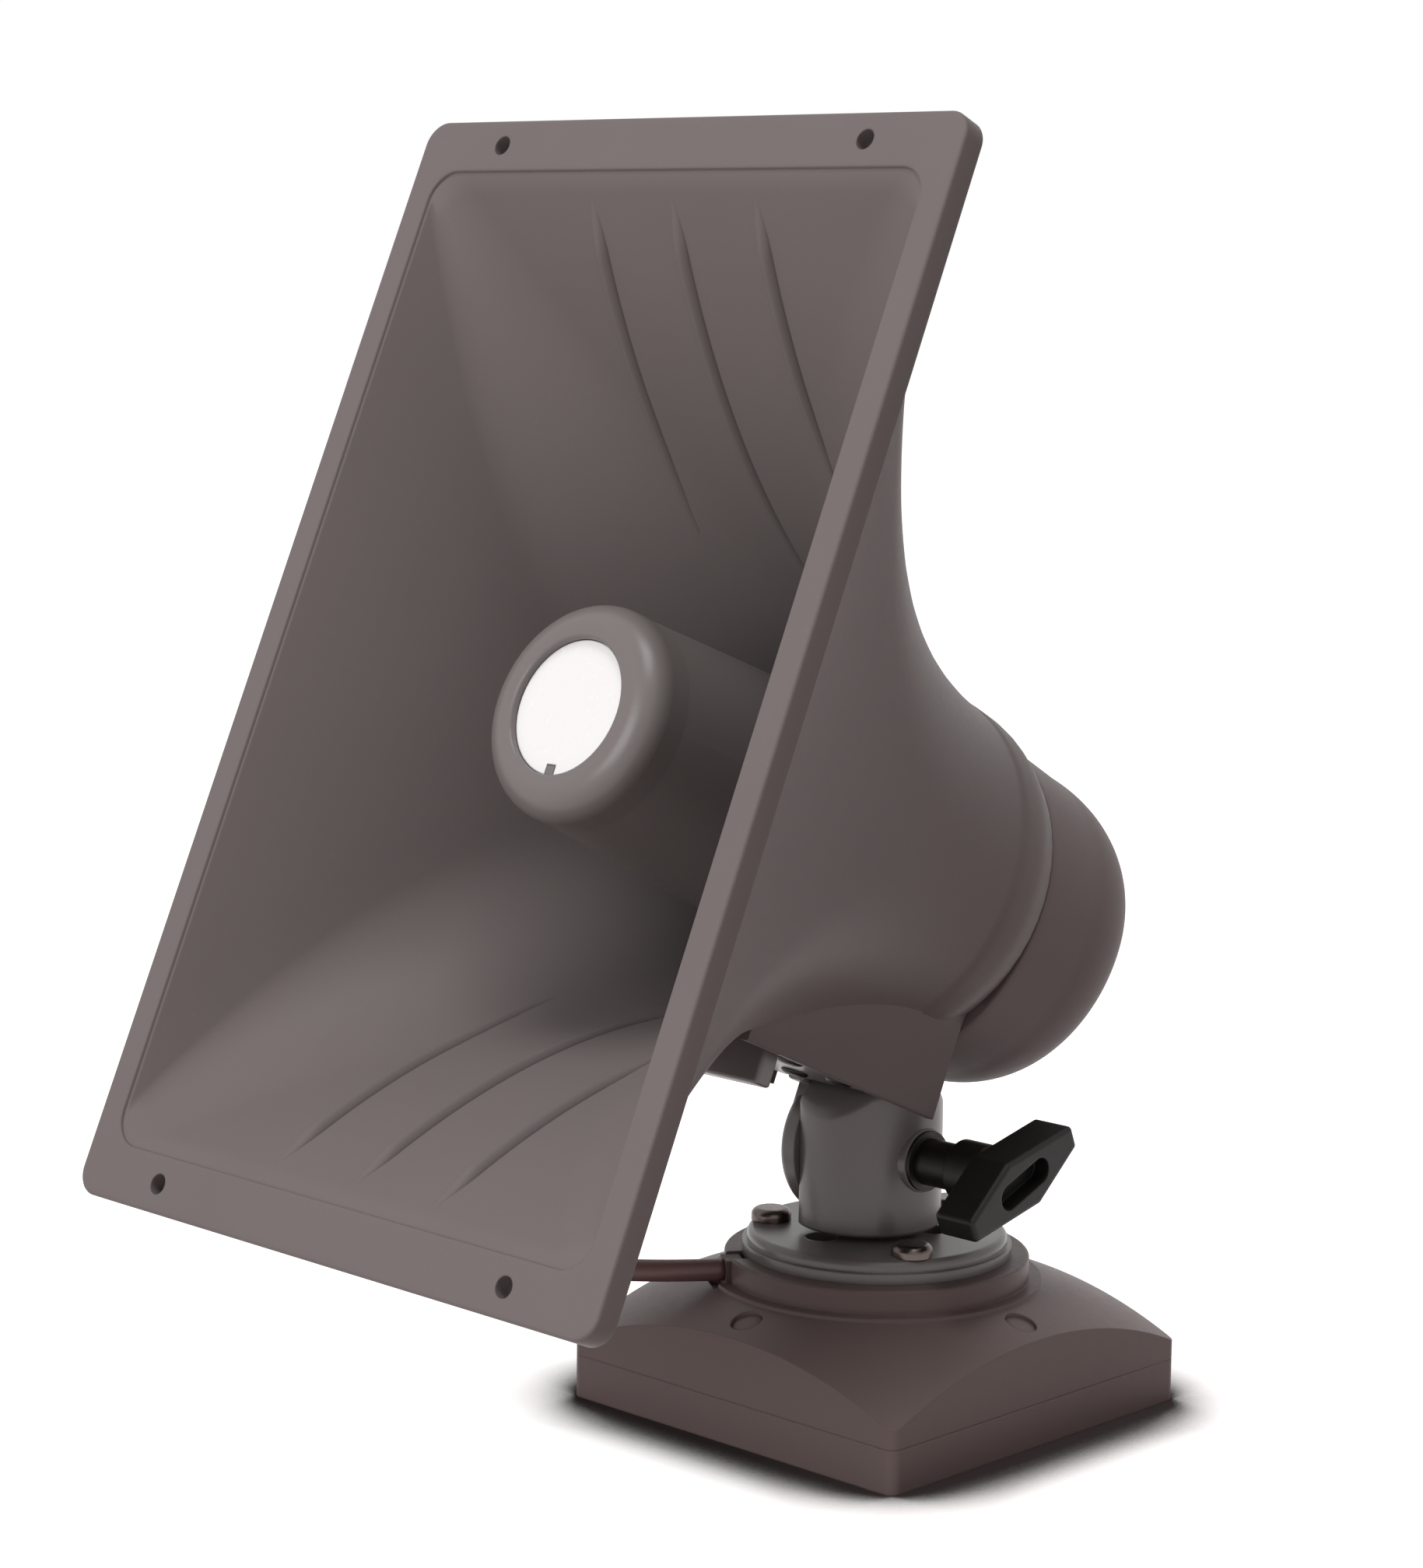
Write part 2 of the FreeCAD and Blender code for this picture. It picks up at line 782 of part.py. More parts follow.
def make_throat_tube():
    """Tube that carries the sound into the bullet, its baffle, and the fins and hub for the bullet."""
    tube = turned(
        "tube_body",
        [
            ("0", "-tube_front"),
            ("tube_bore + tube_wall", "-tube_front"),
            ("tube_bore + tube_wall", "-baffle_seat + baffle_thickness + bell_wall"),
            ("tube_bore + 2 * tube_wall + bell_wall", "-baffle_seat + baffle_thickness"),
            ("baffle_radius", "-baffle_seat + baffle_thickness"),
            ("baffle_radius", "-baffle_seat"),
            ("0", "-baffle_seat"),
        ],
    )
    bore = turned(
        "tube_bore_cut",
        [
            ("0", "-tube_front"),
            ("tube_bore", "-tube_front"),
            ("tube_bore_back", "-baffle_seat"),
            ("0", "-baffle_seat"),
        ],
    )
    recess = rod("tube_recess", "recess_radius", "recess_depth", ("0", "0", "-baffle_seat"))
    bites = [
        driver_rod(f"driver_bite_{number}", "driver_screw_radius + thread_gap", number,
                   "-baffle_seat - diaphragm_thickness - plate_thickness", "driver_screw_length")
        for number in range(3)
    ]
    hollow_tube = cut("hollow_tube", tube, bore, recess, *bites)

    hub_front = "-bullet_front - label_sink - bullet_cap"
    hub = rod("tube_hub", "hub_radius", "tube_front + " + hub_front, ("0", "0", "-tube_front"))
    ahead = [fin(f"fin_ahead_{number}", number, "0", "tube_front") for number in range(3)]
    beside = [fin(f"fin_beside_{number}", number, "tube_bore + tube_wall / 2", "fin_back")
              for number in range(3)]
    pilot = rod(
        "bullet_pilot",
        "bullet_screw_radius + thread_gap",
        "bullet_screw_length",
        ("0", "0", "-bullet_front - label_sink - bullet_screw_length"),
    )
    spider = cut("spider", fuse("spider_blank", hub, *ahead), pilot)
    finish("throat_tube", fuse("throat", hollow_tube, spider, *beside), HORN)


def fin(name, number, start, back):
    """One of three radial fins in front of the tube's mouth or beside it."""
    angle = 90 + 120.0 * number
    turn = Rotation(Vector(0, 0, 1), angle)
    corner = turn.multVec(Vector(value_of(start), -size("fin_thickness") / 2, 0))
    made = doc.addObject("Part::Box", name)
    made.Placement = Placement(Vector(corner.x, corner.y, -value_of(back)), turn)
    made.setExpression(
        "Length", link("bullet_radius - bullet_wall - seat_gap - " + start.replace("+", "-"))
    )
    made.setExpression("Width", link("fin_thickness"))
    made.setExpression("Height", link(back + " - bullet_lead"))
    return made


def driver_rod(name, radius, number, start, length):
    """Rod on the circle of the driver's screws."""
    angle = math.radians(120 * number + 30)
    circle = size("driver_screw_circle")
    place = Vector(circle * math.cos(angle), circle * math.sin(angle), value_of(start))
    return shaped(name, Part.makeCylinder(value_of(radius), value_of(length), place))


def make_driver():
    """Compression driver behind the baffle: plug, diaphragm, coil, plates, magnet and its screws."""
    plug_back = "-baffle_seat + recess_depth - plug_thickness"
    plug = turned(
        "plug_body",
        [
            ("0", plug_back),
            ("recess_radius - seat_gap", plug_back),
            ("recess_radius - seat_gap", "-baffle_seat + recess_depth"),
            ("plug_cone_radius", "-baffle_seat + recess_depth"),
            ("0", "-baffle_seat + recess_depth + plug_cone_length"),
        ],
    )
    holes = []
    for number in range(8):
        angle = math.radians(45 * number)
        circle = size("plug_hole_circle")
        place = Vector(circle * math.cos(angle), circle * math.sin(angle), value_of(plug_back))
        solid = Part.makeCylinder(size("plug_hole_radius"), size("plug_thickness"), place)
        holes.append(shaped(f"plug_hole_{number}", solid))
    finish("phase_plug", cut("plug", plug, *holes), HORN)

    dome = [(0, 1), (0.3, 0.91), (0.6, 0.64), (0.85, 0.28), (1, 0)]
    front = [
        (f"{share} * coil_radius", f"-baffle_seat + {rise} * dome_rise") for share, rise in dome
    ]
    back = [
        (f"{share} * (coil_radius - coil_wall)",
         f"-baffle_seat + {rise} * dome_rise - diaphragm_thickness")
        for share, rise in reversed(dome)
    ]
    edge = [
        ("diaphragm_radius", "-baffle_seat"),
        ("diaphragm_radius", "-baffle_seat - diaphragm_thickness"),
    ]
    finish("diaphragm", turned("diaphragm_body", front + edge + back), HORN)

    coil = turned(
        "coil_body",
        [
            ("coil_radius", "-baffle_seat - diaphragm_thickness"),
            ("coil_radius + coil_wall", "-baffle_seat - diaphragm_thickness"),
            ("coil_radius + coil_wall", "-baffle_seat - diaphragm_thickness - coil_length"),
            ("coil_radius", "-baffle_seat - diaphragm_thickness - coil_length"),
        ],
    )
    finish("voice_coil", coil, HORN)

    plate_front = "-baffle_seat - diaphragm_thickness"
    plate = turned(
        "plate_body",
        [
            ("plate_bore", plate_front),
            ("plate_radius", plate_front),
            ("plate_radius", plate_front + " - plate_thickness"),
            ("plate_bore", plate_front + " - plate_thickness"),
        ],
    )
    plate_holes = [
        driver_rod(f"plate_hole_{number}", "driver_screw_radius + seat_gap", number,
                   plate_front + " - plate_thickness", "plate_thickness")
        for number in range(3)
    ]
    finish("driver_plate", cut("plate", plate, *plate_holes), HORN)

    magnet_front = plate_front + " - plate_thickness"
    magnet = turned(
        "magnet_body",
        [
            ("magnet_bore", magnet_front),
            ("magnet_radius", magnet_front),
            ("magnet_radius", magnet_front + " - magnet_length"),
            ("magnet_bore", magnet_front + " - magnet_length"),
        ],
    )
    finish("driver_magnet", magnet, HORN)

    yoke_front = magnet_front + " - magnet_length"
    yoke = turned(
        "yoke_body",
        [
            ("0", magnet_front + " + plate_thickness / 2"),
            ("pole_radius", magnet_front + " + plate_thickness / 2"),
            ("pole_radius", yoke_front),
            ("yoke_radius", yoke_front),
            ("yoke_radius", yoke_front + " - yoke_thickness"),
            ("0", yoke_front + " - yoke_thickness"),
        ],
    )
    bites = [
        rear_rod(f"yoke_bite_{number}", "rear_screw_radius + thread_gap", number,
                 yoke_back(), "rear_screw_bite")
        for number in range(3)
    ]
    finish("driver_yoke", cut("yoke", yoke, *bites), HORN)

    screws = []
    for number in range(3):
        start = magnet_front
        shank = driver_rod(f"driver_shank_{number}", "driver_screw_radius", number, start,
                           "driver_screw_length")
        head = driver_rod(f"driver_head_{number}", "driver_head_radius", number,
                          start + " - driver_head_height", "driver_head_height")
        screws += [shank, head]
    finish("driver_screws", fuse("driver_screw_set", *screws), HORN)


def yoke_back():
    """Height of the yoke's back face along the horn axis, as an expression."""
    return "-baffle_seat - diaphragm_thickness - plate_thickness - magnet_length - yoke_thickness"


def rear_rod(name, radius, number, start, length):
    """Rod on the circle of the rear cover's screws."""
    angle = math.radians(120 * number + 90)
    circle = size("rear_screw_circle")
    place = Vector(circle * math.cos(angle), circle * math.sin(angle), value_of(start))
    return shaped(name, Part.makeCylinder(value_of(radius), value_of(length), place))


def make_rear():
    """Rear cover over the driver, with its seal and screws."""
    seal = turned(
        "seal_body",
        [
            ("cover_radius - cover_wall - seal_width / 2", "-pot_back"),
            ("cover_radius - cover_wall + seal_width / 4", "-pot_back"),
            ("cover_radius - cover_wall + seal_width / 4", "-pot_back - seal_thickness"),
            ("cover_radius - cover_wall - seal_width / 2", "-pot_back - seal_thickness"),
        ],
    )
    finish("rear_gasket", seal, HORN)

    front = "-pot_back - seal_thickness"
    back = front + " - cover_length"
    blank = turned(
        "cover_blank",
        [("0", front), ("cover_radius", front), ("cover_radius", back), ("0", back)],
        [("cover_radius", back, "cover_round")],
    )
    inner = "cover_radius - cover_wall"
    cavity = turned(
        "cover_cavity",
        [("0", front), (inner, front), (inner, back + " + cover_wall"), ("0", back + " + cover_wall")],
        [(inner, back + " + cover_wall", "cover_round - cover_wall")],
    )
    half = size("pad_half")
    length = size("pad_length")
    pad_wire = rounded_wire(half, length / 2, size("pad_round"), 0)
    pad_solid = Part.Face(pad_wire).extrude(Vector(0, 0, size("pad_drop") - size("cover_round")))
    pad_solid.Placement = Placement(
        Vector(0, -size("pad_drop"), value_of(front) - length / 2),
        Rotation(Vector(1, 0, 0), -90),
    )
    shell = cut("cover_shell", fuse("cover_outside", blank, shaped("rear_pad", pad_solid)), cavity)
    sink = "rear_head_depth + seat_gap"
    post_length = f"0 - ({back}) + ({yoke_back()})"
    posts = [
        rear_rod(f"rear_post_{number}", "rear_post_radius", number, back + " + cover_wall / 2",
                 f"0 - ({back} + cover_wall / 2) + ({yoke_back()})")
        for number in range(3)
    ]
    holes = [
        rear_rod(f"rear_hole_{number}", "rear_screw_radius + seat_gap", number, back, post_length)
        for number in range(3)
    ]
    sinks = [
        rear_rod(f"rear_sink_{number}", "rear_head_radius + seat_gap", number, back, sink)
        for number in range(3)
    ]
    finish("rear_cover", cut("rear", fuse("rear_posted", shell, *posts), *holes, *sinks), HORN)

    screws = []
    for number in range(3):
        seat = f"{back} + {sink}"
        shank = rear_rod(f"rear_shank_{number}", "rear_screw_radius", number, seat,
                         f"0 - ({seat}) + ({yoke_back()}) + rear_screw_bite")
        head = rear_rod(f"rear_head_{number}", "rear_head_radius", number,
                        seat + " - rear_head_depth", "rear_head_depth")
        screws += [shank, head]
    finish("rear_screws", fuse("rear_screw_set", *screws), HORN)


def make_gland():
    """Cable gland: stem in the pot's wall, hexagon nut and domed end with the cable's bore."""
    face = size("gland_face")
    stem = gland_rod("gland_stem", size("gland_stem_radius"), face - size("gland_stem_length"), face)
    nut_solid = Part.Face(hexagon(size("gland_nut_across"))).extrude(
        Vector(0, 0, size("gland_nut_height"))
    )
    nut_solid.Placement = Placement(along_gland(face), gland_turn())
    dome_start = face + size("gland_nut_height")
    dome = Part.makeCylinder(
        size("gland_dome_radius"), size("gland_length") - size("gland_nut_height")
    )
    edges = [edge for edge in dome.Edges if edge.Vertexes[0].Z > 1 and edge.isClosed()]
    dome = dome.makeFillet(size("edge_round"), edges)
    dome.Placement = Placement(along_gland(dome_start), gland_turn())
    pieces = fuse("gland_outside", stem, shaped("gland_nut", nut_solid), shaped("gland_dome", dome))
    finish("cable_gland", pieces, HORN)


def hexagon(across):
    """Closed hexagon about the origin with that distance between its flats."""
    reach = across / math.sqrt(3)
    points = [
        Vector(reach * math.cos(math.radians(60 * number)), reach * math.sin(math.radians(60 * number)), 0)
        for number in range(7)
    ]
    return Part.makePolygon(points)


def make_upper_knuckle():
    """Half of the tilt joint that holds the horn: disc, arm and foot plate, with its screws."""
    disc = turned(
        "disc_body",
        [
            ("0", "-disc_seam - running_gap"),
            ("barrel_radius", "-disc_seam - running_gap"),
            ("barrel_radius", "-disc_outer"),
            ("0", "-disc_outer"),
        ],
        [("barrel_radius", "-disc_outer", "disc_round")],
    )
    disc.Placement = Placement(AXIS_IN_HORN, TO_X)

    top = -size("foot_top")
    under = top - size("foot_thickness")
    root = math.radians(size("arm_root_angle"))
    radius = size("barrel_radius")
    ring = [
        AXIS_IN_HORN + Vector(0, -radius * math.sin(root), radius * math.cos(root)),
        AXIS_IN_HORN + Vector(0, 0, 0),
        tangent_point(Vector(0, top, -size("arm_high")), AXIS_IN_HORN, radius),
    ]
    outline = [Vector(0, under, -size("arm_low")), *ring, Vector(0, top, -size("arm_high"))]
    outline.append(Vector(0, top, -size("arm_low")))
    outline.append(outline[0])
    width = size("disc_outer") - size("disc_seam") - size("running_gap")
    arm = Part.Face(Part.makePolygon(outline)).extrude(Vector(width, 0, 0))
    arm.translate(Vector(-size("disc_outer"), 0, 0))

    middle = (size("foot_front") + size("foot_back")) / 2
    half_length = (size("foot_back") - size("foot_front")) / 2
    plate = Part.Face(
        rounded_wire(size("foot_half"), half_length, size("foot_corner"), 0)
    ).extrude(Vector(0, 0, size("foot_thickness")))
    plate.Placement = Placement(Vector(0, under, -middle), Rotation(Vector(1, 0, 0), -90))

    clear = size("foot_screw_radius") + size("seat_gap")
    holes = [
        upright_rod(f"foot_hole_{number}", clear, x, z, -under, -top)
        for number, (x, z) in enumerate(foot_screw_places())
    ]
    stud_depth = size("stud_start") + size("seat_gap")
    stud_hole = Part.makeCylinder(
        size("stud_radius") + size("running_gap"),
        stud_depth - size("disc_seam"),
        AXIS_IN_HORN + Vector(-stud_depth, 0, 0),
        Vector(1, 0, 0),
    )
    solid = fuse("knuckle_solid", disc, shaped("knuckle_arm", arm), shaped("foot_plate", plate))
    finish("upper_knuckle", cut("upper", solid, shaped("stud_hole", stud_hole), *holes), HORN)

    screws = []
    length = size("foot_screw_length")
    for number, (x, z) in enumerate(foot_screw_places()):
        head_low = -under + size("foot_head_height")
        shank = upright_rod(f"foot_shank_{number}", size("foot_screw_radius"), x, z, -under,
                            -under - length)
        head = upright_rod(f"foot_head_{number}", size("foot_head_radius"), x, z, head_low, -under)
        screws += [shank, head]
    finish("foot_screws", fuse("foot_screw_set", *screws), HORN)


def tangent_point(start, centre, radius):
    """Point where the line from start touches the circle round centre on the upper side."""
    away = start - centre
    reach = away.Length
    inward = away * (radius**2 / reach**2)
    across = Vector(0, away.z, -away.y) * (radius * math.sqrt(reach**2 - radius**2) / reach**2)
    return centre + inward + across


def make_lower_knuckle():
    """Neck that turns on the base and carries the barrel of the tilt joint."""
    neck = rod("neck_round", "neck_radius", "axis_height - neck_bottom",
               ("-pan_shift", "0", "neck_bottom"))
    cradle = rod("neck_cradle", "barrel_radius + near_gap", "2 * neck_radius",
                 ("-disc_seam - 2 * neck_radius", "0", "axis_height"), TO_X)
    barrel = turned(
        "barrel_body",
        [
            ("0", "-disc_seam"),
            ("barrel_radius", "-disc_seam"),
            ("barrel_radius", "barrel_end"),
            ("0", "barrel_end"),
        ],
        [("barrel_radius", "barrel_end", "barrel_round")],
    )
    barrel.Placement = SWIVEL
    bore = rod("stud_bore", "stud_radius + running_gap", "disc_seam + barrel_end",
               ("-disc_seam", "0", "axis_height"), TO_X)
    bite = rod("pan_bite", "pan_radius + thread_gap", "pan_top - neck_bottom",
               ("-pan_shift", "0", "neck_bottom"))
    solid = fuse("lower_solid", cut("neck_cut", neck, cradle), barrel)
    finish("lower_knuckle", cut("lower", solid, bore, bite))

    washer_top = "flange_bottom - boss_plate - running_gap"
    shank = rod("pan_shank", "pan_radius", f"pan_top - ({washer_top}) + pan_washer_thickness",
                ("-pan_shift", "0", f"{washer_top} - pan_washer_thickness"))
    head_solid = Part.Face(hexagon(size("pan_head_across"))).extrude(
        Vector(0, 0, size("pan_head_height"))
    )
    head_solid.translate(
        Vector(-size("pan_shift"), 0,
               value_of(f"{washer_top} - pan_washer_thickness - pan_head_height"))
    )
    finish("pan_bolt", fuse("pan", shank, shaped("pan_head", head_solid)))

    washer = rod("pan_ring", "pan_washer_radius", "pan_washer_thickness",
                 ("-pan_shift", "0", f"{washer_top} - pan_washer_thickness"))
    hole = rod("pan_ring_hole", "pan_radius", "pan_washer_thickness",
               ("-pan_shift", "0", f"{washer_top} - pan_washer_thickness"))
    finish("pan_washer", cut("pan_disc", washer, hole))


def wing_point(x, along, across):
    """Point of the wing knob, along and across its long direction."""
    angle = math.radians(size("wing_angle"))
    return Vector(
        x,
        along * math.cos(angle) - across * math.sin(angle),
        size("axis_height") + along * math.sin(angle) + across * math.cos(angle),
    )


def make_knob():
    """Wing knob with its stud and washer."""
    stud = rod("stud", "stud_radius", "stud_start + stud_end",
               ("-stud_start", "0", "axis_height"), TO_X)
    finish("clamp_bolt", stud)

    washer = rod("clamp_ring", "washer_radius", "washer_thickness",
                 ("barrel_end + running_gap", "0", "axis_height"), TO_X)
    hole = rod("clamp_ring_hole", "stud_radius", "washer_thickness",
               ("barrel_end + running_gap", "0", "axis_height"), TO_X)
    finish("clamp_washer", cut("clamp_disc", washer, hole))

    start = "barrel_end + running_gap + washer_thickness"
    neck = turned(
        "knob_neck",
        [
            ("0", start),
            ("knob_neck_radius", start),
            ("knob_neck_radius", "knob_collar_start - edge_round"),
            ("knob_collar_radius", "knob_collar_start"),
            ("knob_collar_radius", "wing_start + edge_round"),
            ("0", "wing_start + edge_round"),
        ],
    )
    neck.Placement = SWIVEL
    reach = size("wing_reach")
    long = size("wing_tip_long")
    short = size("wing_tip_short")
    half = size("wing_half")
    skew = size("wing_skew")
    outline = [(-reach, -long), (-reach, short), (-skew, half)]
    outline += [(-along, -across) for along, across in outline]
    low = size("wing_start")
    points = [wing_point(low, *corner) for corner in outline]
    wing = Part.Face(Part.makePolygon(points + points[:1])).extrude(
        Vector(size("wing_end") - low, 0, 0)
    )
    wing = wing.makeFillet(size("wing_round"), wing.Edges)
    depth = size("wing_recess_depth")
    radius = size("wing_recess_radius")
    shift = size("wing_recess_half")
    end = size("wing_end")
    ends = [wing_point(end - depth, side * shift, 0) for side in (-1, 1)]
    recess = Part.makeCylinder(radius, depth, ends[0], Vector(1, 0, 0))
    recess = recess.fuse(Part.makeCylinder(radius, depth, ends[1], Vector(1, 0, 0)))
    corners = [
        wing_point(end - depth, -shift, -radius),
        wing_point(end - depth, shift, -radius),
        wing_point(end - depth, shift, radius),
        wing_point(end - depth, -shift, radius),
    ]
    slot = Part.Face(Part.makePolygon(corners + corners[:1])).extrude(Vector(depth, 0, 0))
    socket = rod("stud_socket", "stud_radius", "stud_end - barrel_end",
                 ("barrel_end", "0", "axis_height"), TO_X)
    solid = fuse("knob_solid", neck, shaped("wing", wing))
    recess_cut = shaped("wing_recess", recess.fuse(slot).removeSplitter())
    finish("wing_knob", cut("knob", solid, recess_cut, socket))


def on_circle(circle, degrees, height):
    """Point on a circle about the base's axis."""
    angle = math.radians(degrees)
    return Vector(circle * math.cos(angle), circle * math.sin(angle), height)


def flange_screw_places(height):
    """Centres of the three flange screws at a height."""
    return [on_circle(size("screw_circle"), degrees, height) for degrees in (210, 330, 90)]


def make_mount_flange():
    """Round flange with a hub for the neck, three screws and three moulded pits."""
    plate = turned(
        "flange_body",
        [
            ("0", "flange_bottom"),
            ("flange_radius", "flange_bottom"),
            ("flange_radius", "flange_bottom + flange_step_height"),
            ("flange_radius - flange_step", "flange_bottom + flange_step_height"),
            ("flange_radius - flange_step", "flange_top"),
            ("0", "flange_top"),
        ],
        [("flange_radius - flange_step", "flange_top", "flange_round")],
    )
    hub = rod("flange_hub", "hub_top_radius", "neck_bottom - running_gap - flange_bottom",
              ("-pan_shift", "0", "flange_bottom"))
    pan_hole = rod("flange_pan_hole", "pan_radius + running_gap", "neck_bottom - flange_bottom",
                   ("-pan_shift", "0", "flange_bottom"))
    height = size("flange_top") - size("flange_bottom")
    holes = [
        shaped(f"flange_hole_{number}",
               Part.makeCylinder(size("screw_radius") + size("seat_gap"), height, place))
        for number, place in enumerate(flange_screw_places(size("flange_bottom")))
    ]
    pits = []
    for number, degrees in enumerate((30, 150, 270)):
        place = on_circle(size("pit_circle"), degrees, size("flange_top") - size("pit_depth"))
        place.x -= size("pan_shift")
        pit = Part.makeCylinder(size("pit_radius"), size("pit_depth"), place)
        pits.append(shaped(f"flange_pit_{number}", pit))
    solid = fuse("flange_solid", plate, hub)
    finish("mount_flange", cut("flange", solid, pan_hole, *holes, *pits))

    screws = []
    top = size("flange_top")
    for number, place in enumerate(flange_screw_places(top - size("screw_length"))):
        shank = Part.makeCylinder(size("screw_radius"), size("screw_length"), place)
        seat = Vector(place.x, place.y, top)
        head = Part.makeCylinder(size("screw_head_radius"), size("screw_head_height"), seat)
        crown = [edge for edge in head.Edges if edge.isClosed() and edge.Vertexes[0].Z > top + 1]
        head = head.makeFillet(size("screw_head_height") * 0.6, crown)
        screws += [shaped(f"flange_shank_{number}", shank), shaped(f"flange_head_{number}", head)]
    finish("flange_screws", fuse("flange_screw_set", *screws))


def rounded_box(name, half, low, high, corner):
    """Square block with rounded upright edges between two heights."""
    return shaped(name, Part.Face(rounded_wire(half, half, corner, low)).extrude(Vector(0, 0, high - low)))


def cover_screw_places(height):
    """Centres of the four cover screws at a height."""
    return [on_circle(size("cover_screw_circle"), 90 * number, height) for number in range(4)]


def rods_at(name, places, radius, top):
    """Upright rods from each place to a height."""
    return [
        shaped(f"{name}_{number}", Part.makeCylinder(radius, top - place.z, place))
        for number, place in enumerate(places)
    ]


def board_post_places(height):
    """Centres of the board's four posts at a height."""
    half = size("board_post_half")
    return [Vector(x, y, height) for x in (-half, half) for y in (-half, half)]


def make_tray():
    """Tray of the base, with posts, box-pattern holes, wire opening and the seal in its groove."""
    half = size("base_side") / 2
    wall = size("base_wall")
    floor = size("tray_floor")
    seam = size("seam_height")
    corner = size("base_corner")
    outside = rounded_box("tray_outside", half, 0, seam, corner)
    inside = rounded_box("tray_inside", half - wall, floor, seam, corner / 2)
    posts = rods_at("tray_post", cover_screw_places(floor - 1), size("tray_post_radius"), seam)
    board_posts = rods_at("board_post", board_post_places(floor - 1), size("board_post_radius"),
                          size("board_height"))
    solid = fuse("tray_solid", cut("tray_shell", outside, inside), *posts, *board_posts)

    tip = size("cover_screw_tip")
    bites = rods_at("tray_bite", cover_screw_places(tip),
                    size("cover_screw_radius") + size("thread_gap"), seam)
    board_tip = size("board_height") + size("board_thickness") - size("board_screw_length")
    board_bites = rods_at("board_bite", board_post_places(board_tip),
                          size("board_screw_radius") + size("thread_gap"), size("board_height"))
    across = size("mount_across") / 2
    along = size("mount_along") / 2
    places = [Vector(x, y, 0) for x in (-across, across) for y in (-along, along)]
    mounts = rods_at("mount_hole", places, size("mount_hole_radius"), floor)
    opening = block(
        "wire_opening",
        "wire_opening_width",
        "wire_opening_length",
        "tray_floor",
        ("-wire_opening_width / 2", "wire_opening_middle - wire_opening_length / 2", "0"),
    )
    groove = seal_ring("groove", 0)
    finish("base_tray", cut("tray", solid, *bites, *board_bites, *mounts, opening, groove))
    finish("base_gasket", seal_ring("seal_ring", 0))


def seal_ring(name, gap):
    """Square ring in the middle of the tray's wall."""
    middle = (size("base_side") - size("base_wall")) / 2
    half_width = size("seal_groove") / 2
    seam = size("seam_height")
    corner = size("base_corner") - size("base_wall") / 2
    low = seam - size("seal_groove")
    outer = Part.Face(rounded_wire(middle + half_width, middle + half_width, corner + half_width, low))
    inner = Part.Face(rounded_wire(middle - half_width, middle - half_width, corner - half_width, low))
    ring = outer.cut(inner).extrude(Vector(0, 0, seam - low - gap))
    return shaped(name, ring)


def dome_block(name, half, corner, shrink, low, high):
    """Square block under the cover's domed top, all faces moved in by a wall."""
    square = Part.Face(rounded_wire(half - shrink, half - shrink, corner, low)).extrude(
        Vector(0, 0, high - low)
    )
    centre = Vector(0, 0, size("dome_top") - size("dome_radius"))
    ball = Part.makeSphere(size("dome_radius") - shrink, centre)
    return shaped(name, square.common(ball))


def make_cover():
    """Domed cover of the base with the boss for the flange, and its screws."""
    half = size("base_side") / 2
    wall = size("base_wall")
    corner = size("base_corner")
    seam = size("seam_height")
    top = size("flange_bottom")
    under = top - size("boss_plate")
    dome = dome_block("cover_dome", half, corner, 0, seam, size("dome_top"))
    ring = rod("boss_ring", "boss_ring_radius", "boss_ring_top - cover_bore_floor",
               ("0", "0", "cover_bore_floor"))
    boss = turned(
        "boss_body",
        [
            ("0", "cover_bore_floor"),
            ("boss_radius", "cover_bore_floor"),
            ("boss_radius", "flange_bottom"),
            ("0", "flange_bottom"),
        ],
        [("boss_radius", "flange_bottom", "edge_round")],
    )
    hollow = dome_block("cover_hollow", half, corner / 2, wall, seam, under)
    well = rod("boss_well", "boss_inner", "flange_bottom - boss_plate - cover_bore_floor",
               ("0", "0", "cover_bore_floor"))
    shell = cut("cover_shell_solid", fuse("cover_solid", dome, ring, boss), hollow, well)

    posts = rods_at("cover_post", cover_screw_places(seam), size("cover_post_radius"),
                    size("cover_bore_floor") + 2 * wall)
    screw_posts = rods_at("screw_post", flange_screw_places(size("screw_post_bottom")),
                          size("screw_post_radius"), under + wall)
    solid = fuse("cover_posted", shell, *posts, *screw_posts)

    holes = rods_at("cover_hole", cover_screw_places(seam),
                    size("cover_screw_radius") + size("seat_gap"), top)
    sinks = rods_at("cover_sink", cover_screw_places(size("cover_bore_floor")),
                    size("cover_bore_radius"), top)
    bites = rods_at("flange_bite", flange_screw_places(size("screw_post_bottom")),
                    size("screw_radius") + size("thread_gap"), top)
    pan_hole = rod("cover_pan_hole", "pan_radius + running_gap", "boss_plate",
                   ("-pan_shift", "0", "flange_bottom - boss_plate"))
    slot = radial_block("cable_slot", size("boss_inner") - 1, size("boss_ring_radius") + 1,
                        size("slot_half"), size("slot_bottom"), top)
    finish("base_cover", cut("cover", solid, *holes, *sinks, *bites, pan_hole, slot))

    screws = []
    head_seat = size("cover_bore_floor")
    tip = size("cover_screw_tip")
    screws += rods_at("cover_shank", cover_screw_places(tip), size("cover_screw_radius"), head_seat)
    screws += rods_at("cover_head", cover_screw_places(head_seat), size("cover_head_radius"),
                      head_seat + size("cover_head_height"))
    finish("cover_screws", fuse("cover_screw_set", *screws))


def radial_block(name, near, far, half, low, high):
    """Block along the direction in which the cable enters the boss."""
    solid = Part.makeBox(far - near, 2 * half, high - low, Vector(near, -half, low))
    solid.rotate(Vector(), Vector(0, 0, 1), size("slot_angle"))
    return shaped(name, solid)


